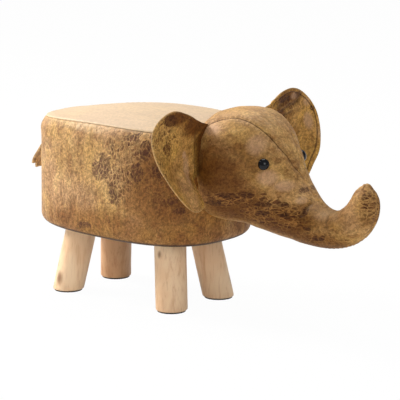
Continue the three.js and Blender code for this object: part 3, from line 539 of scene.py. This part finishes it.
leather_ears = {
    "right": ear_leather(
        "right", worn=0.14,
        crackle=[((175, 158, 276), (60, 46, 42), 1), ((175, 176, 245), (60, 20, 40), 0.7)],
        blots=[((175, 140, 300), (40, 22, 14), 0.9), ((175, 150, 262), (40, 14, 12), 0.8)],
        # Dark zones: painted shade at the ear's root and top, where it meets the head.
        dark=[((172, 84, 288), (40, 44, 24), 1), ((172, 124, 302), (50, 44, 16), 1),
              ((175, 62, 250), (30, 24, 80), 0.9)],
        # Soft zones: a smooth light strip by the hinge and a painted highlight running down the flap.
        soft=[((178, 106, 222), (50, 9, 34), 0.8), ((178, 109, 247), (40, 6, 8), 1),
              ((190, 118, 195), (40, 24, 42), 0.4)]),
    "left": ear_leather(
        "left", worn=0.07, crackle=[((175, 130, 288), (40, 40, 14), 0.5)],
        blots=[((175, 120, 298), (40, 22, 8), 0.9), ((175, 150, 300), (40, 16, 8), 0.8),
               ((175, 116, 270), (40, 12, 6), 0.9), ((175, 180, 278), (40, 7, 7), 0.7)],
        # Dark zones: partly deeper leather, partly painted shade by the root's top and between the folds, and
        # darker towards the lower rim.
        dark=[((175, 126, 296), (40, 40, 18), 0.8), ((175, 198, 230), (40, 13, 66), 0.7),
              ((175, 108, 274), (40, 20, 20), 0.9), ((175, 190, 200), (40, 26, 30), 0.6)],
        # Soft zones: smooth pinkish patches, partly a painted highlight between the folds.
        soft=[((178, 170, 260), (40, 11, 18), 1), ((178, 182, 234), (40, 7, 22), 0.9),
              ((178, 140, 300), (40, 10, 7), 0.9), ((178, 170, 288), (40, 10, 9), 0.8),
              ((178, 190, 256), (40, 8, 12), 0.8)]),
}
leather_tail = leather("leather_tail", worn=0.3, pale=0.12, dye=(0.98, 1, 0.78))
wood = log_wood("log_wood", (1.08, 0.98, 0.84))
# The rear left leg's wood is browner and also painted darker, as painted shade under the body.
heartwood = log_wood("log_wood_brown_shaded", (0.74, 0.56, 0.4))


def eye_material():
    n = Nodes("eye_gloss")
    tone = n.noise(60, 2.0)
    return n.finish(n.mix(tone, rgb(8, 8, 11), rgb(16, 16, 20)), n.ramp(tone, 0, 1, 0.12, 0.2),
                    Specular_IOR_Level=0.3)


PLAIN = {
    "frame_wood": plain("frame_wood", rgb(206, 178, 132), rgb(184, 150, 104), 60, 0.7, stretch=(0.1, 1, 1)),
    "hardboard": plain("hardboard", rgb(122, 92, 62), rgb(100, 72, 46), 300, 0.85),
    "foam": plain("foam", rgb(234, 222, 182), rgb(222, 206, 160), 700, 0.95),
    "filling": plain("filling", rgb(240, 238, 232), rgb(226, 224, 218), 180, 1.0, strength=0.6),
    "dust_cloth": plain("dust_cloth", rgb(36, 32, 30), rgb(24, 22, 20), 900, 0.95),
    "steel": plain("steel", rgb(196, 198, 202), rgb(170, 172, 178), 260, 0.35, metal=1.0),
    "foot_pad": plain("foot_pad", rgb(52, 44, 38), rgb(40, 34, 30), 300, 0.8),
    "washer": plain("washer", rgb(222, 222, 214), rgb(206, 206, 198), 200, 0.55),
    "leather": leather_side,
    "leg_wood": wood,
    "eye": eye_material(),
}
for part in frame["record"]["subparts"]:
    mesh = frame["nodes"][part["node"]].data
    mesh.materials.clear()
    mesh.materials.append(PLAIN[part["material_slot"]])


def dress(piece, material, slot, body, *nodes, fill=None):
    piece.data.materials.append(material)
    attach(piece, body)
    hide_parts(*nodes)
    return piece


# Body

def rear_dent(x, y):
    """The seat's rim sags a little at the rear on the left, where the cover pulls in."""
    return -4.0 * np.exp(-((x + 158) / 36) ** 2 - ((y - 74) / 34) ** 2)


def arch(x, z):
    """How far the arched seat lies under its highest place, in full at the seam and fading to the frame."""
    start = FRAME_TOP + 0.3
    return -ARCH * ((x - ARCH_FORWARD) / (LENGTH / 2)) ** 2 * np.clip((z - start) / (SEAM - start), 0, 1)


def outline(angle, inset, z, share=1.0):
    power = 2 / SQUARENESS
    along = np.sign(np.cos(angle)) * np.abs(np.cos(angle)) ** power
    across = np.sign(np.sin(angle)) * np.abs(np.sin(angle)) ** power
    x = share * (LENGTH / 2 - inset) * along
    y = share * (WIDTH / 2 - inset) * across * (1 + TAPER * along)
    return np.stack([x, y, z + arch(x, z)], -1)


def even_angles(count):
    """Angles that space points evenly round the outline."""
    fine = np.linspace(0, 2 * np.pi, 4001)
    run = np.concatenate([[0], np.cumsum(np.linalg.norm(np.diff(outline(fine, 0, 0.0), axis=0), axis=1))])
    return np.interp(np.linspace(0, run[-1], count, endpoint=False), run, fine)


STATIONS = 300
ANGLES = even_angles(STATIONS)


def body_level(p):
    """Below 0 inside the body's cover and above 0 outside it, roughly in millimetres."""
    x, y, z = p[..., 0], p[..., 1], p[..., 2]
    along = np.clip(x / (LENGTH / 2), -1.2, 1.2)
    level = z
    for _ in range(5):
        level = z - arch(x, level)
    lean = SHOULDER_INSET * np.clip((level - (SEAM - SHOULDER)) / SHOULDER, 0, 1) ** 2
    risen = np.clip((level - BOTTOM) / BOTTOM_RADIUS, 0, 1)
    foot = BOTTOM_RADIUS * (1 - np.sqrt(np.clip(1 - (1 - risen) ** 2, 0, 1)))
    inset = lean + foot
    a = np.abs(x / (LENGTH / 2 - inset)) ** SQUARENESS
    b = np.abs(y / ((WIDTH / 2 - inset) * (1 + TAPER * along))) ** SQUARENESS
    share = (a + b) ** (1 / SQUARENESS)
    side = (share - 1) * WIDTH / 2
    top = level - (SEAM + 0.3 + COVER + CROWN * (1 - np.clip(share, 0, 1) ** CROWN_POWER))
    return np.maximum(side, np.maximum(top, BOTTOM - z))


def seam_drawn(x):
    """The seat's seam shows as a thin dark line at the rear and near the ears, and is soft between them."""
    return 0.85 - 0.6 * smooth_step(-75, -45, x) * (1 - smooth_step(25, 50, x))


def make_side_band():
    corner = [(BOTTOM_RADIUS * (1 - math.sin(a)), BOTTOM + BOTTOM_RADIUS * (1 - math.cos(a)))
              for a in np.linspace(0, math.pi / 2, 9)]
    straight = [(0, z) for z in np.linspace(BOTTOM + BOTTOM_RADIUS, SEAM - SHOULDER, 26)[1:]]
    shoulder = [(SHOULDER_INSET * u ** 2, SEAM - SHOULDER * (1 - u)) for u in np.linspace(0, 0.93, 13)[1:]]
    lip = [(SHOULDER_INSET + 0.1, SEAM - 0.9), (SHOULDER_INSET + 0.9, SEAM - 0.35),
           (SHOULDER_INSET + 2.2, SEAM - 0.9), (SHOULDER_INSET + 3.2, SEAM - 2.4)]
    under = [(BOTTOM_RADIUS + TURN_UNDER, BOTTOM + 0.2), (BOTTOM_RADIUS + TURN_UNDER * 0.5, BOTTOM + 0.1)]
    profile = under + corner + straight + shoulder + lip
    rows = np.array([outline(ANGLES, inset, z) for inset, z in profile])
    normal = -grid_normals(rows)
    height = np.array([z for _, z in profile])[:, None]
    free = smooth_step(BOTTOM + 4, BOTTOM + 30, height) * (1 - smooth_step(SEAM - 12, SEAM - 2, height))
    run = ANGLES[None, :]
    rear = smooth_step(-0.55, -0.95, np.cos(run))
    pulls = np.sin(run * 63 + 2.0 * np.sin(run * 7)) * (0.35 + 0.65 * rear) * 0.35
    dents = wobbles(rows * np.array([1, 1, 0.45]), 0.022, 3.1) * 1.3
    dents += wobbles(rows * np.array([1, 1, 0.3]), 0.06, 8.4) * 0.5
    puckers = np.sin(run * 96) * 0.22 * np.exp(-((height - (SEAM - 3)) / 5.0) ** 2)
    rows = rows + normal * ((dents + pulls) * free + puckers - 0.3)[..., None]
    rows[..., 2] += rear_dent(rows[..., 0], rows[..., 1]) * smooth_step(SEAM - 45, SEAM - 8, height)
    rows[..., 0] += 2.6 * smooth_step(-120, -160, rows[..., 0]) * np.exp(-((height - 232) / 22) ** 2)
    steps = np.linalg.norm(np.diff(np.array(profile), axis=0), axis=1)
    run_up = np.concatenate([[0], np.cumsum(steps)])
    seam = np.repeat(FAR + run_up - run_up[-2], STATIONS)
    # Painted shadow: a thin dark line along the bottom rounding, where shade falls under the body.
    painted_under_shadow = np.repeat(0.9 * (1 - smooth_step(BOTTOM + 3.5, BOTTOM + 6.5, height[:, 0])), STATIONS)
    piece = mesh_object("side_cover", rows, grid_faces(len(profile), STATIONS),
                        {"seam": seam, "seam_strength": seam_drawn(rows[..., 0]), "shade": painted_under_shadow})
    return dress(piece, leather_side, "leather", "stool", "cover_side_band", "side_foam", fill=0.85)


def make_seat():
    shares = np.concatenate([np.linspace(0.04, 0.9, 30), np.linspace(0.92, 0.985, 8)])
    rows, seam = [], []
    top = SEAM + 0.3 + COVER
    for share in shares:
        rows.append(outline(ANGLES, SHOULDER_INSET, top + CROWN * (1 - share ** CROWN_POWER), share))
        seam.append((1 - share) * WIDTH / 2 + 3)
    edge = [(SHOULDER_INSET + 0.6, top - 0.25, 2.4), (SHOULDER_INSET + 0.25, top - 1.0, 1.6),
            (SHOULDER_INSET + 0.9, top - 1.9, 0.6), (SHOULDER_INSET + 2.4, top - 2.6, 0.0)]
    for inset, z, distance in edge:
        rows.append(outline(ANGLES, inset, z))
        seam.append(distance)
    rows = np.array(rows)
    row_share = np.concatenate([shares, [1] * len(edge)])[:, None]
    free = 1 - smooth_step(0.9, 1.0, row_share)
    rim_distance = np.array(seam)[:, None]
    rows[..., 2] += 1.4 * np.exp(-((rim_distance - 9) / 7) ** 2) * (rim_distance > 2.5)
    rows[..., 2] += rear_dent(rows[..., 0], rows[..., 1])
    rows[..., 2] += wobbles(rows, 0.014, 5.2) * 1.1 * free
    hollow = np.exp(-((rows[..., 0] + 100) / 55) ** 2 - ((rows[..., 1] - 62) / 42) ** 2)
    rows[..., 2] -= 3.0 * hollow * free
    rows[..., 2] += np.sin(ANGLES * 88)[None, :] * 0.2 * np.exp(-((row_share - 0.985) / 0.03) ** 2)
    middle = rows[0].mean(0)
    points = np.concatenate([rows.reshape(-1, 3), [middle]])
    faces = grid_faces(len(rows), STATIONS, flip=True) + fan_faces(len(points) - 1, 0, STATIONS)
    values = np.concatenate([np.repeat(seam, STATIONS), [WIDTH / 2]])
    # Painted highlight: a light line along the puffed rim just inside the seam.
    rim = 0.35 * np.exp(-((values - 2.6) / 0.9) ** 2)
    piece = mesh_object("seat_cushion", points, faces,
                        {"seam": FAR + values, "seam_strength": 0.9 * seam_drawn(points[:, 0]), "light": rim})
    return dress(piece, leather_seat, "leather", "stool", "cover_top_panel", "seat_foam", fill=0.9)


# Head and trunk

SPINE = [(NECK_X + a * HEAD_LENGTH, 0, NECK_Z - d * DROP) for a, d, *_ in SECTIONS]
GIRTH = [(h * HEAD_DEPTH / 2, w * HEAD_WIDTH / 2, q) for *_, h, w, q in SECTIONS]


def head_surface(t, angle):
    """Points of the head's skin: t is 0 in the neck and 1 at the trunk's end, and both are arrays."""
    step = 1e-3
    flat = t.ravel()
    centre = spline(SPINE, flat, True)
    behind, ahead = np.clip(flat - step, 0, 1), np.clip(flat + step, 0, 1)
    tangent = spline(SPINE, ahead, True) - spline(SPINE, behind, True)
    tangent /= np.linalg.norm(tangent, axis=1, keepdims=True)
    up = np.stack([-tangent[:, 2], 0 * flat, tangent[:, 0]], 1)
    girth = spline(GIRTH, flat)
    power = 2 / girth[:, 2]
    a = angle.ravel()
    side = np.sign(np.cos(a)) * np.abs(np.cos(a)) ** power
    rise = np.sign(np.sin(a)) * np.abs(np.sin(a)) ** power
    p = centre + up * (girth[:, 0] * rise)[:, None]
    p[:, 1] += girth[:, 1] * side
    return p.reshape(t.shape + (3,))


def forehead_half_width(x):
    table = np.array(FOREHEAD)
    return np.interp((x - NECK_X) / HEAD_LENGTH, table[:, 0], table[:, 1]) * HEAD_WIDTH / 2


def make_head():
    columns, rows = 208, 250
    angle = np.linspace(0, 2 * np.pi, columns, endpoint=False)
    low, high = np.zeros(columns), np.full(columns, 0.3)
    for _ in range(24):
        middle = (low + high) / 2
        inside = body_level(head_surface(middle, angle)) < 0
        low, high = np.where(inside, middle, low), np.where(inside, high, middle)
    start = high
    share = np.linspace(0, 1, rows)
    share = share - 0.06 * np.sin(2 * np.pi * share) / (2 * np.pi)
    t = start[None, :] + (1 - start[None, :]) * share[:, None]
    grid = head_surface(t, np.repeat(angle[None, :], rows, 0))
    normal = grid_normals(grid)
    centre = spline(SPINE, t.ravel(), True).reshape(grid.shape)
    if (normal * (grid - centre)).sum() < 0:
        normal = -normal
    x, y, z = grid[..., 0], grid[..., 1], grid[..., 2]
    upper = np.sin(angle)[None, :] * np.ones((rows, 1))
    edge = np.abs(y) - forehead_half_width(x)
    along = np.linspace(140, 310, 60)
    slope_here = np.interp(x, along, np.gradient(forehead_half_width(along), along[1] - along[0]))
    signed = edge / np.sqrt(1 + slope_here ** 2)
    front = NECK_X + FOREHEAD[-1][0] * HEAD_LENGTH
    on_top = smooth_step(-0.2, 0.1, upper) * (1 - smooth_step(front - 1, front + 2, x))
    on_middle = np.maximum(smooth_step(0.05, -0.25, upper), (upper > 0) * smooth_step(front - 4, front, x))
    drawn = (0.8 - 0.3 * smooth_step(255, 300, x)) * (1 - 0.75 * smooth_step(245, 265, x) * (y > 0))
    distance = np.where(on_top > 0.5, np.abs(signed), FAR)
    distance = np.minimum(distance, np.where(on_middle > 0.5, np.abs(y), FAR))
    groove = -1.5 * np.exp(-(distance / 1.8) ** 2) + 0.8 * np.exp(-((distance - 6) / 5.0) ** 2)
    root = smooth_step(0.0, 0.05, share)[:, None]
    lumps = wobbles(grid, 0.02, 1.7) * 1.5 + wobbles(grid, 0.055, 6.3) * 0.5
    gathers = np.sin(x * 0.9) * 0.35 * np.exp(-((distance - 3) / 3.0) ** 2)
    fold = smooth_step(0.55, 0.7, t) * (1 - smooth_step(0.9, 1.0, t))
    bend = smooth_step(-0.25, 0.2, upper) * (1 - smooth_step(0.75, 0.95, upper))
    crease = 0.674 - 0.0145 * upper
    folds = bend * 1.8 * (np.exp(-((t - 0.70) / 0.026) ** 2) - np.exp(-((t - crease) / 0.006) ** 2))
    folds += -0.6 * np.exp(-((t - 0.935) / 0.014) ** 2) * smooth_step(0.3, 0.9, upper)
    cheek_fold = near_line(grid, (324, -15, 182), (320, -30, 168), 2.2)
    folds += 2.4 * near_line(grid, (316, -18, 188), (311, -28, 182), 6.5) - 1.8 * cheek_fold
    # Painted shade in the trunk's bend crease and along the cheek fold.
    shade = 0.35 * np.exp(-((t - crease) / 0.0055) ** 2) * bend + 0.4 * cheek_fold
    wrinkles = wobbles(grid, 0.05, 4.0) * 0.4 * fold
    grid = grid + normal * ((groove + lumps + gathers + folds - 0.4) * root + wrinkles)[..., None]
    tip = grid[-1].mean(0) + (grid[-1].mean(0) - grid[-3].mean(0)) * 0.4
    points = np.concatenate([grid.reshape(-1, 3), [tip]])
    faces = grid_faces(rows, columns)
    faces += fan_faces(len(points) - 1, (rows - 1) * columns, columns)
    values = {"seam": FAR + signed, "seam_strength": on_top * drawn,
              "middle": FAR + y, "middle_strength": on_middle * 0.2, "shade": shade}
    values = {key: np.concatenate([value.ravel(), [0]]) for key, value in values.items()}
    piece = mesh_object("head_cover", points, faces, values)
    fix_normals(piece)
    return dress(piece, leather_head, "leather", "stool", "forehead_panel", "cheek_left", "cheek_right",
                 "head_stuffing", "trunk_stuffing", fill=0.9)


# Eyes

def make_eye(side):
    name = "left" if side > 0 else "right"
    t = np.array([EYE_ALONG])
    angle = np.array([math.radians(EYE_ANGLE if side > 0 else 180 - EYE_ANGLE)])
    here = head_surface(t, angle)[0]
    ahead = head_surface(t + 0.004, angle)[0] - head_surface(t - 0.004, angle)[0]
    around = head_surface(t, angle + 0.004)[0] - head_surface(t, angle - 0.004)[0]
    out = np.cross(around, ahead)
    out /= np.linalg.norm(out)
    if out[1] * here[1] < 0:
        out = -out
    turn = Vector((0, 0, 1)).rotation_difference(Vector(out)).to_matrix()
    profile = [(6.4, -2.2), (7.5, -1.6), (8.1, -0.7), (8.15, 0.1), (8.0, 0.8)]
    dome = np.linspace(0.1, math.pi / 2 - 0.05, 14)
    profile += [(8.0 * math.cos(a), 0.8 + 4.8 * math.sin(a)) for a in dome]
    columns = 40
    ring = np.linspace(0, 2 * np.pi, columns, endpoint=False)
    rows = np.array([[(r * math.cos(a), r * math.sin(a), z) for a in ring] for r, z in profile])
    local = np.concatenate([rows.reshape(-1, 3), [(0, 0, 5.6)]])
    points = np.array([np.array(turn @ Vector(p)) for p in local]) + here
    faces = grid_faces(len(profile), columns)
    faces += fan_faces(len(points) - 1, (len(profile) - 1) * columns, columns)
    piece = mesh_object(f"eye_dome_{name}", points, faces)
    fix_normals(piece)
    return dress(piece, PLAIN["eye"], "eye", "stool", f"eye_{name}")


# Ears

def ear_place(share):
    out, up, forward = np.asarray(share, float).T
    x, y, z = HINGE_X + forward * EAR_FORWARD, HINGE_Y + out * EAR_SPAN, EAR_BOTTOM + up * EAR_HEIGHT
    return np.stack([x, y, z], -1)


def make_ear(side):
    """Flap and sewn root in one skin, on the ear outside the hinge line and on the head inside it."""
    name = "left" if side > 0 else "right"
    rim = spline(ear_place(EAR_RIM), np.linspace(0, 1, 150), True)
    bottom, top = rim[-1], rim[0]
    root = np.array([[HINGE_X, HINGE_Y - 14, bottom[2] + 6], [HINGE_X - 1, HINGE_Y - 30, bottom[2] + 22],
                     [HINGE_X - 1, HINGE_Y - 37, top[2] - 16], [HINGE_X, HINGE_Y - 18, top[2] - 7.5]])
    inner = spline(np.array([bottom, *root, top]), np.linspace(0, 1, 40), True)[1:-1]
    loop = np.concatenate([rim, inner])
    middle = ear_place([EAR_MIDDLE])[0]
    shares = np.concatenate([np.linspace(0.06, 0.86, 20), [0.895, 0.92, 0.945, 0.97, 0.988, 1.0]])
    count = len(loop)
    offset = loop - middle
    reach = np.hypot(offset[:, 1], offset[:, 2])
    front, back, seam, strength, shade, light = [], [], [], [], [], []
    for share in shares:
        ring = middle + offset * share
        ring[:, 0] = middle[0] + offset[:, 0] * share ** EAR_CUP
        inside = reach * (1 - share)
        half = (EAR_RIM_THICK + (EAR_THICK - EAR_RIM_THICK) * (1 - share ** 4)) / 2
        flange = np.exp(-((inside - 6.5) / 1.5) ** 2)
        edge = 1 - smooth_step(0.0, 2.2, inside)
        near_root = smooth_step(HINGE_Y + 40, HINGE_Y - 6, ring[:, 1])
        gathered = 1.9 * smooth_step(EAR_BOTTOM + 95, EAR_BOTTOM + 135, ring[:, 2]) if side > 0 else 0.4
        pleats = np.sin((ring[:, 2] - EAR_BOTTOM) * 0.30 + 1.5 * np.sin(ring[:, 1] * 0.07))
        pleats = pleats * gathered * near_root
        low_enough = 1 - smooth_step(top[2] - 34, top[2] - 12, ring[:, 2])
        ring[:, 0] -= 4.5 * smooth_step(HINGE_Y + 1.5, HINGE_Y - 4.5, ring[:, 1]) * low_enough
        folds = sum(near_line(ring[:, 1:], start, end, 2.4) for start, end in EAR_FOLDS) * (side > 0)
        hinge_crease_shadow = np.exp(-((ring[:, 1] - HINGE_Y + 1) / 2.0) ** 2) * low_enough
        on_root = smooth_step(HINGE_Y + 1.5, HINGE_Y - 3, ring[:, 1])
        on_rim = smooth_step(HINGE_Y - 2, HINGE_Y + 8, ring[:, 1])
        # Painted shade in the root's recess, along the hinge crease and in the folds.
        shade.append(np.clip(0.25 * on_root + 0.5 * hinge_crease_shadow + 0.45 * folds, 0, 1))
        # Painted highlight: a light line along the rim's edge outside the hinge.
        light.append(0.25 * (1 - smooth_step(0.3, 1.4, inside)) * on_rim)
        waves = wobbles(ring, 0.03, 2.2 * side) * 1.2 + wobbles(ring, 0.075, 4.4 * side) * 0.45 - 1.6 * folds
        sway = (waves + pleats) * (share < 1)
        depth = half * (1 - 0.75 * edge) - 0.9 * flange
        front.append(ring + (sway + depth)[:, None] * (1, 0, 0))
        back.append(ring + (sway - depth)[:, None] * (1, 0, 0))
        seam.append(FAR + inside - EAR_STITCH)
        strength.append((0.8 if side > 0 else 0.35) * on_rim)
    rows = len(shares)
    points = np.concatenate([np.array(front).reshape(-1, 3), np.array(back).reshape(-1, 3),
                             [np.mean(front[0], 0)], [np.mean(back[0], 0)]])
    points[:, 1] *= side
    faces = grid_faces(rows, count) + grid_faces(rows, count, rows * count, flip=True)
    last_front, last_back = (rows - 1) * count, (2 * rows - 1) * count
    for j in range(count):
        k = (j + 1) % count
        faces.append((last_front + j, last_front + k, last_back + k, last_back + j))
    faces += fan_faces(2 * rows * count, 0, count)
    faces += fan_faces(2 * rows * count + 1, rows * count, count, flip=True)
    values = {"seam": seam, "seam_strength": strength, "shade": shade, "light": light}
    values = {key: np.array(value).ravel() for key, value in values.items()}
    values = {key: np.concatenate([value, value, [0, 0]]) for key, value in values.items()}
    # Painted shade: the back panel is painted a little darker.
    values["shade"][rows * count:] += 0.16  # the back panel is a little darker
    piece = mesh_object(f"ear_{name}", points, faces, values)
    fix_normals(piece)
    piece.data.materials.append(leather_ears[name])
    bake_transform(piece)
    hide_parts(f"ear_{name}_front_panel", f"ear_{name}_back_panel", f"ear_{name}_wadding",
                f"ear_{name}_root")
    return piece


# Tail

def make_tail():
    """Flared double strap, sewn at the top and along both edges, that droops and ends in strands."""
    length_steps = np.linspace(0, 1, 60)
    lean = np.radians(TAIL_LEAN) * (1 - smooth_step(0.72, 0.95, length_steps))
    step = TAIL_LENGTH / (len(length_steps) - 1)
    x = TAIL_X - np.concatenate([[0], np.cumsum(np.sin(lean[:-1]) * step)])
    z = TAIL_Z - np.concatenate([[0], np.cumsum(np.cos(lean[:-1]) * step)])
    half = (TAIL_ROOT + (TAIL_TIP - TAIL_ROOT) * length_steps) / 2
    pieces_points, pieces_faces, seams = [], [], []
    total = 0
    strands = [(-1, -0.56, 0.915), (-0.5, 0.5, 1.0), (0.56, 1, 0.915)]  # two edges across, and the end
    count = 15
    for low, high, end in strands:
        keep = np.linspace(0, end, 56)
        cx, cz = np.interp(keep, length_steps, x), np.interp(keep, length_steps, z)
        ch, cl = np.interp(keep, length_steps, half), np.interp(keep, length_steps, lean)
        joined = [v if abs(v) == 1 else math.copysign(TAIL_SLIT_SHARE, v) for v in (low, high)]
        part = smooth_step(TAIL_SPLIT_SHARE - 0.02, TAIL_SPLIT_SHARE + 0.05, keep)
        lo, hi = (shut + (edge - shut) * part for shut, edge in zip(joined, (low, high)))
        rings, stitches = [], []
        for i in range(len(keep)):
            across = np.linspace(lo[i], hi[i], count)
            from_stitch = np.abs(across) - TAIL_STITCH_SHARE
            thick = TAIL_HALF_THICK * (1 - 0.45 * np.exp(-(from_stitch / 0.07) ** 2))
            thick *= 1 - 0.5 * smooth_step(0.93, 1.0, np.abs(across))
            taper = 1 - 0.4 * smooth_step(0.97, 1.0, keep[i] / end)
            normal = np.array([math.cos(cl[i]), 0, -math.sin(cl[i])])
            middle = np.stack([np.full(count, cx[i]), across * ch[i], np.full(count, cz[i])], 1)
            curl = 0.8 * np.sin(across * 4.0 + low * 3) * part[i]
            front = middle + normal * (thick * taper + curl)[:, None]
            back = (middle + normal * (-thick * taper + curl)[:, None])[::-1]
            rings.append(np.concatenate([front, back]))
            stitch = from_stitch * ch[i]
            stitches.append(np.concatenate([stitch, stitch[::-1]]))
        rings = np.array(rings)
        cols = rings.shape[1]
        pieces_points.append(rings.reshape(-1, 3))
        pieces_faces += grid_faces(len(keep), cols, total)
        first, last = total, total + (len(keep) - 1) * cols
        for start in (first, last):
            for j in range(count - 1):
                pieces_faces.append((start + j, start + j + 1, start + cols - 2 - j, start + cols - 1 - j))
        seams.append(np.array(stitches).ravel())
        total += len(keep) * cols
    piece = mesh_object("tail_strap", np.concatenate(pieces_points), pieces_faces,
                        {"seam": FAR + np.concatenate(seams), "seam_strength": np.full(total, 0.5)})
    fix_normals(piece)
    return dress(piece, leather_tail, "leather", "tail", "tail_outer_strip", "tail_inner_strip")


# Legs

def make_leg(end, side):
    """Peeled log, not quite round, with a shaved flat on the outer side of the front legs."""
    name = ("front" if end > 0 else "rear") + ("_left" if side > 0 else "_right")
    columns, rows = 72, 48
    angle = np.linspace(0, 2 * np.pi, columns, endpoint=False)
    slope_out = math.tan(math.radians(LEG_SPLAY))
    seed = 3 + end * 1.7 + side * 0.9
    grid = []
    share = np.concatenate([[0, 0, 0.006, 0.016], np.linspace(0.03, 0.97, rows - 8), [0.984, 0.994, 1, 1]])
    scale = np.concatenate([[0.90, 0.955, 0.985, 0.997], np.ones(rows - 8), [0.997, 0.985, 0.955, 0.90]])
    flat_way = math.radians(-68 if side < 0 else 68)
    for s, k in zip(share, scale):
        z = LEG_LOW + s * LEG_TALL
        lean = s * LEG_TALL * slope_out
        centre = np.array([end * (LEG_X - lean), side * (LEG_Y - lean), z])
        ring = []
        for a in angle:
            q = (math.cos(a), math.sin(a), s * 1.4)
            radius = LEG_RADIUS * k * (1 + 0.022 * wobble(q, 0.9, seed) + 0.01 * wobble(q, 2.6, seed * 2))
            if end > 0:
                reach = math.cos(a - flat_way)
                if reach > 0.5:
                    radius = min(radius, LEG_RADIUS * k * (0.955 + 0.01 * s) / reach)
            radius = min(radius, LEG_RADIUS * 1.012)
            ring.append(centre + np.array([radius * math.cos(a), radius * math.sin(a), 0]))
        grid.append(ring)
    grid = np.array(grid)
    points = np.concatenate([grid.reshape(-1, 3), [grid[0].mean(0)], [grid[-1].mean(0)]])
    faces = grid_faces(rows, columns)
    faces += fan_faces(len(points) - 2, 0, columns, flip=True)
    faces += fan_faces(len(points) - 1, (rows - 1) * columns, columns)
    piece = mesh_object(f"log_leg_{name}", points, faces)
    fix_normals(piece)
    # The rear left leg takes the browner wood with painted shade.
    return dress(piece, heartwood if name == "rear_left" else wood, "leg_wood", "stool", f"leg_{name}")


make_side_band()
make_seat()
make_head()
for side in (1, -1):
    make_eye(side)
    make_ear(side)
    for end in (1, -1):
        make_leg(end, side)
make_tail()


# Floor, light and camera

def make_floor():
    mesh = bpy.data.meshes.new("floor")
    reach = 30.0
    corners = [(-reach, -reach, 0), (reach, -reach, 0), (reach, reach, 0), (-reach, reach, 0)]
    mesh.from_pydata(corners, [], [(0, 1, 2, 3)])
    floor = add(bpy.data.objects.new("floor", mesh))
    n = Nodes("floor_white")
    n.shader.inputs["Base Color"].default_value = (0.85, 0.85, 0.85, 1)
    n.shader.inputs["Roughness"].default_value = 0.9
    glow = n.new("ShaderNodeEmission")
    glow.inputs["Color"].default_value = (1, 1, 1, 1)
    glow.inputs["Strength"].default_value = 1.0
    path = n.new("ShaderNodeLightPath")
    seen = n.most(path.outputs["Is Camera Ray"],
                  n.most(path.outputs["Is Glossy Ray"], path.outputs["Is Transmission Ray"]))
    mixer = n.new("ShaderNodeMixShader")
    n.link(n.times(seen, 0.975), mixer.inputs[0])
    n.tree.links.new(n.shader.outputs[0], mixer.inputs[1])
    n.tree.links.new(glow.outputs[0], mixer.inputs[2])
    n.tree.links.new(mixer.outputs[0], n.tree.nodes["Material Output"].inputs["Surface"])
    mesh.materials.append(n.material)


def make_world():
    world = bpy.data.worlds.new("studio")
    bpy.context.scene.world = world
    world.use_nodes = True
    tree = world.node_tree
    background = tree.nodes["Background"]
    background.inputs["Color"].default_value = (1, 1, 1, 1)
    path = tree.nodes.new("ShaderNodeLightPath")
    seen = tree.nodes.new("ShaderNodeMath")
    seen.operation = "MAXIMUM"
    tree.links.new(path.outputs["Is Camera Ray"], seen.inputs[0])
    tree.links.new(path.outputs["Is Transmission Ray"], seen.inputs[1])
    level = tree.nodes.new("ShaderNodeMapRange")
    level.inputs["To Min"].default_value = 0.33
    level.inputs["To Max"].default_value = 1.0
    tree.links.new(seen.outputs[0], level.inputs["Value"])
    tree.links.new(level.outputs["Result"], background.inputs["Strength"])


def make_light(name, place, target, size, power, colour=(1, 1, 1)):
    data = bpy.data.lights.new(name, "AREA")
    data.shape = "DISK"
    data.size = size
    data.energy = power
    data.color = colour
    light = add(bpy.data.objects.new(name, data))
    light.location = place
    light.rotation_mode = "QUATERNION"
    light.rotation_quaternion = (Vector(target) - Vector(place)).to_track_quat("-Z", "Y")


def make_camera():
    """Camera fitted to the photograph: its turn, its rise and where the feet's middle is in the picture."""
    turn, rise = math.radians(39.63), math.radians(11.8)
    focal, wide, middle_x, middle_y, scale = 2383, 400, 142.96, 290.6, 1 / 1.5
    right = Vector((math.cos(turn), math.sin(turn), 0))
    back = Vector((math.sin(turn) * math.cos(rise), -math.cos(turn) * math.cos(rise), math.sin(rise)))
    up = back.cross(right)
    far = focal / scale
    feet_lower = 3.5  # the picture was fitted with the feet this much too high
    place = back * far + Vector((ROW_X, 0, feet_lower))
    place += (up * (middle_y - wide / 2) - right * (middle_x - wide / 2)) * (far / focal)
    data = bpy.data.cameras.new("camera")
    data.sensor_width = 36
    data.lens = focal * 36 / wide
    data.clip_end = 100
    camera = add(bpy.data.objects.new("camera", data))
    camera.matrix_world = Matrix.Translation(place / 1000) @ Matrix((right, up, back)).transposed().to_4x4()
    bpy.context.scene.camera = camera


make_floor()
make_world()
make_light("key", (-2.3, -0.7, 1.7), (0, 0, 0.2), 1.1, 90, (1.0, 0.985, 0.96))
make_light("top", (-0.6, 0.5, 2.6), (0, 0, 0.2), 1.6, 36)
make_light("front", (2.4, -1.7, 1.5), (0.1, 0, 0.15), 1.4, 16)
make_camera()
bpy.context.scene.view_settings.view_transform = "Standard"
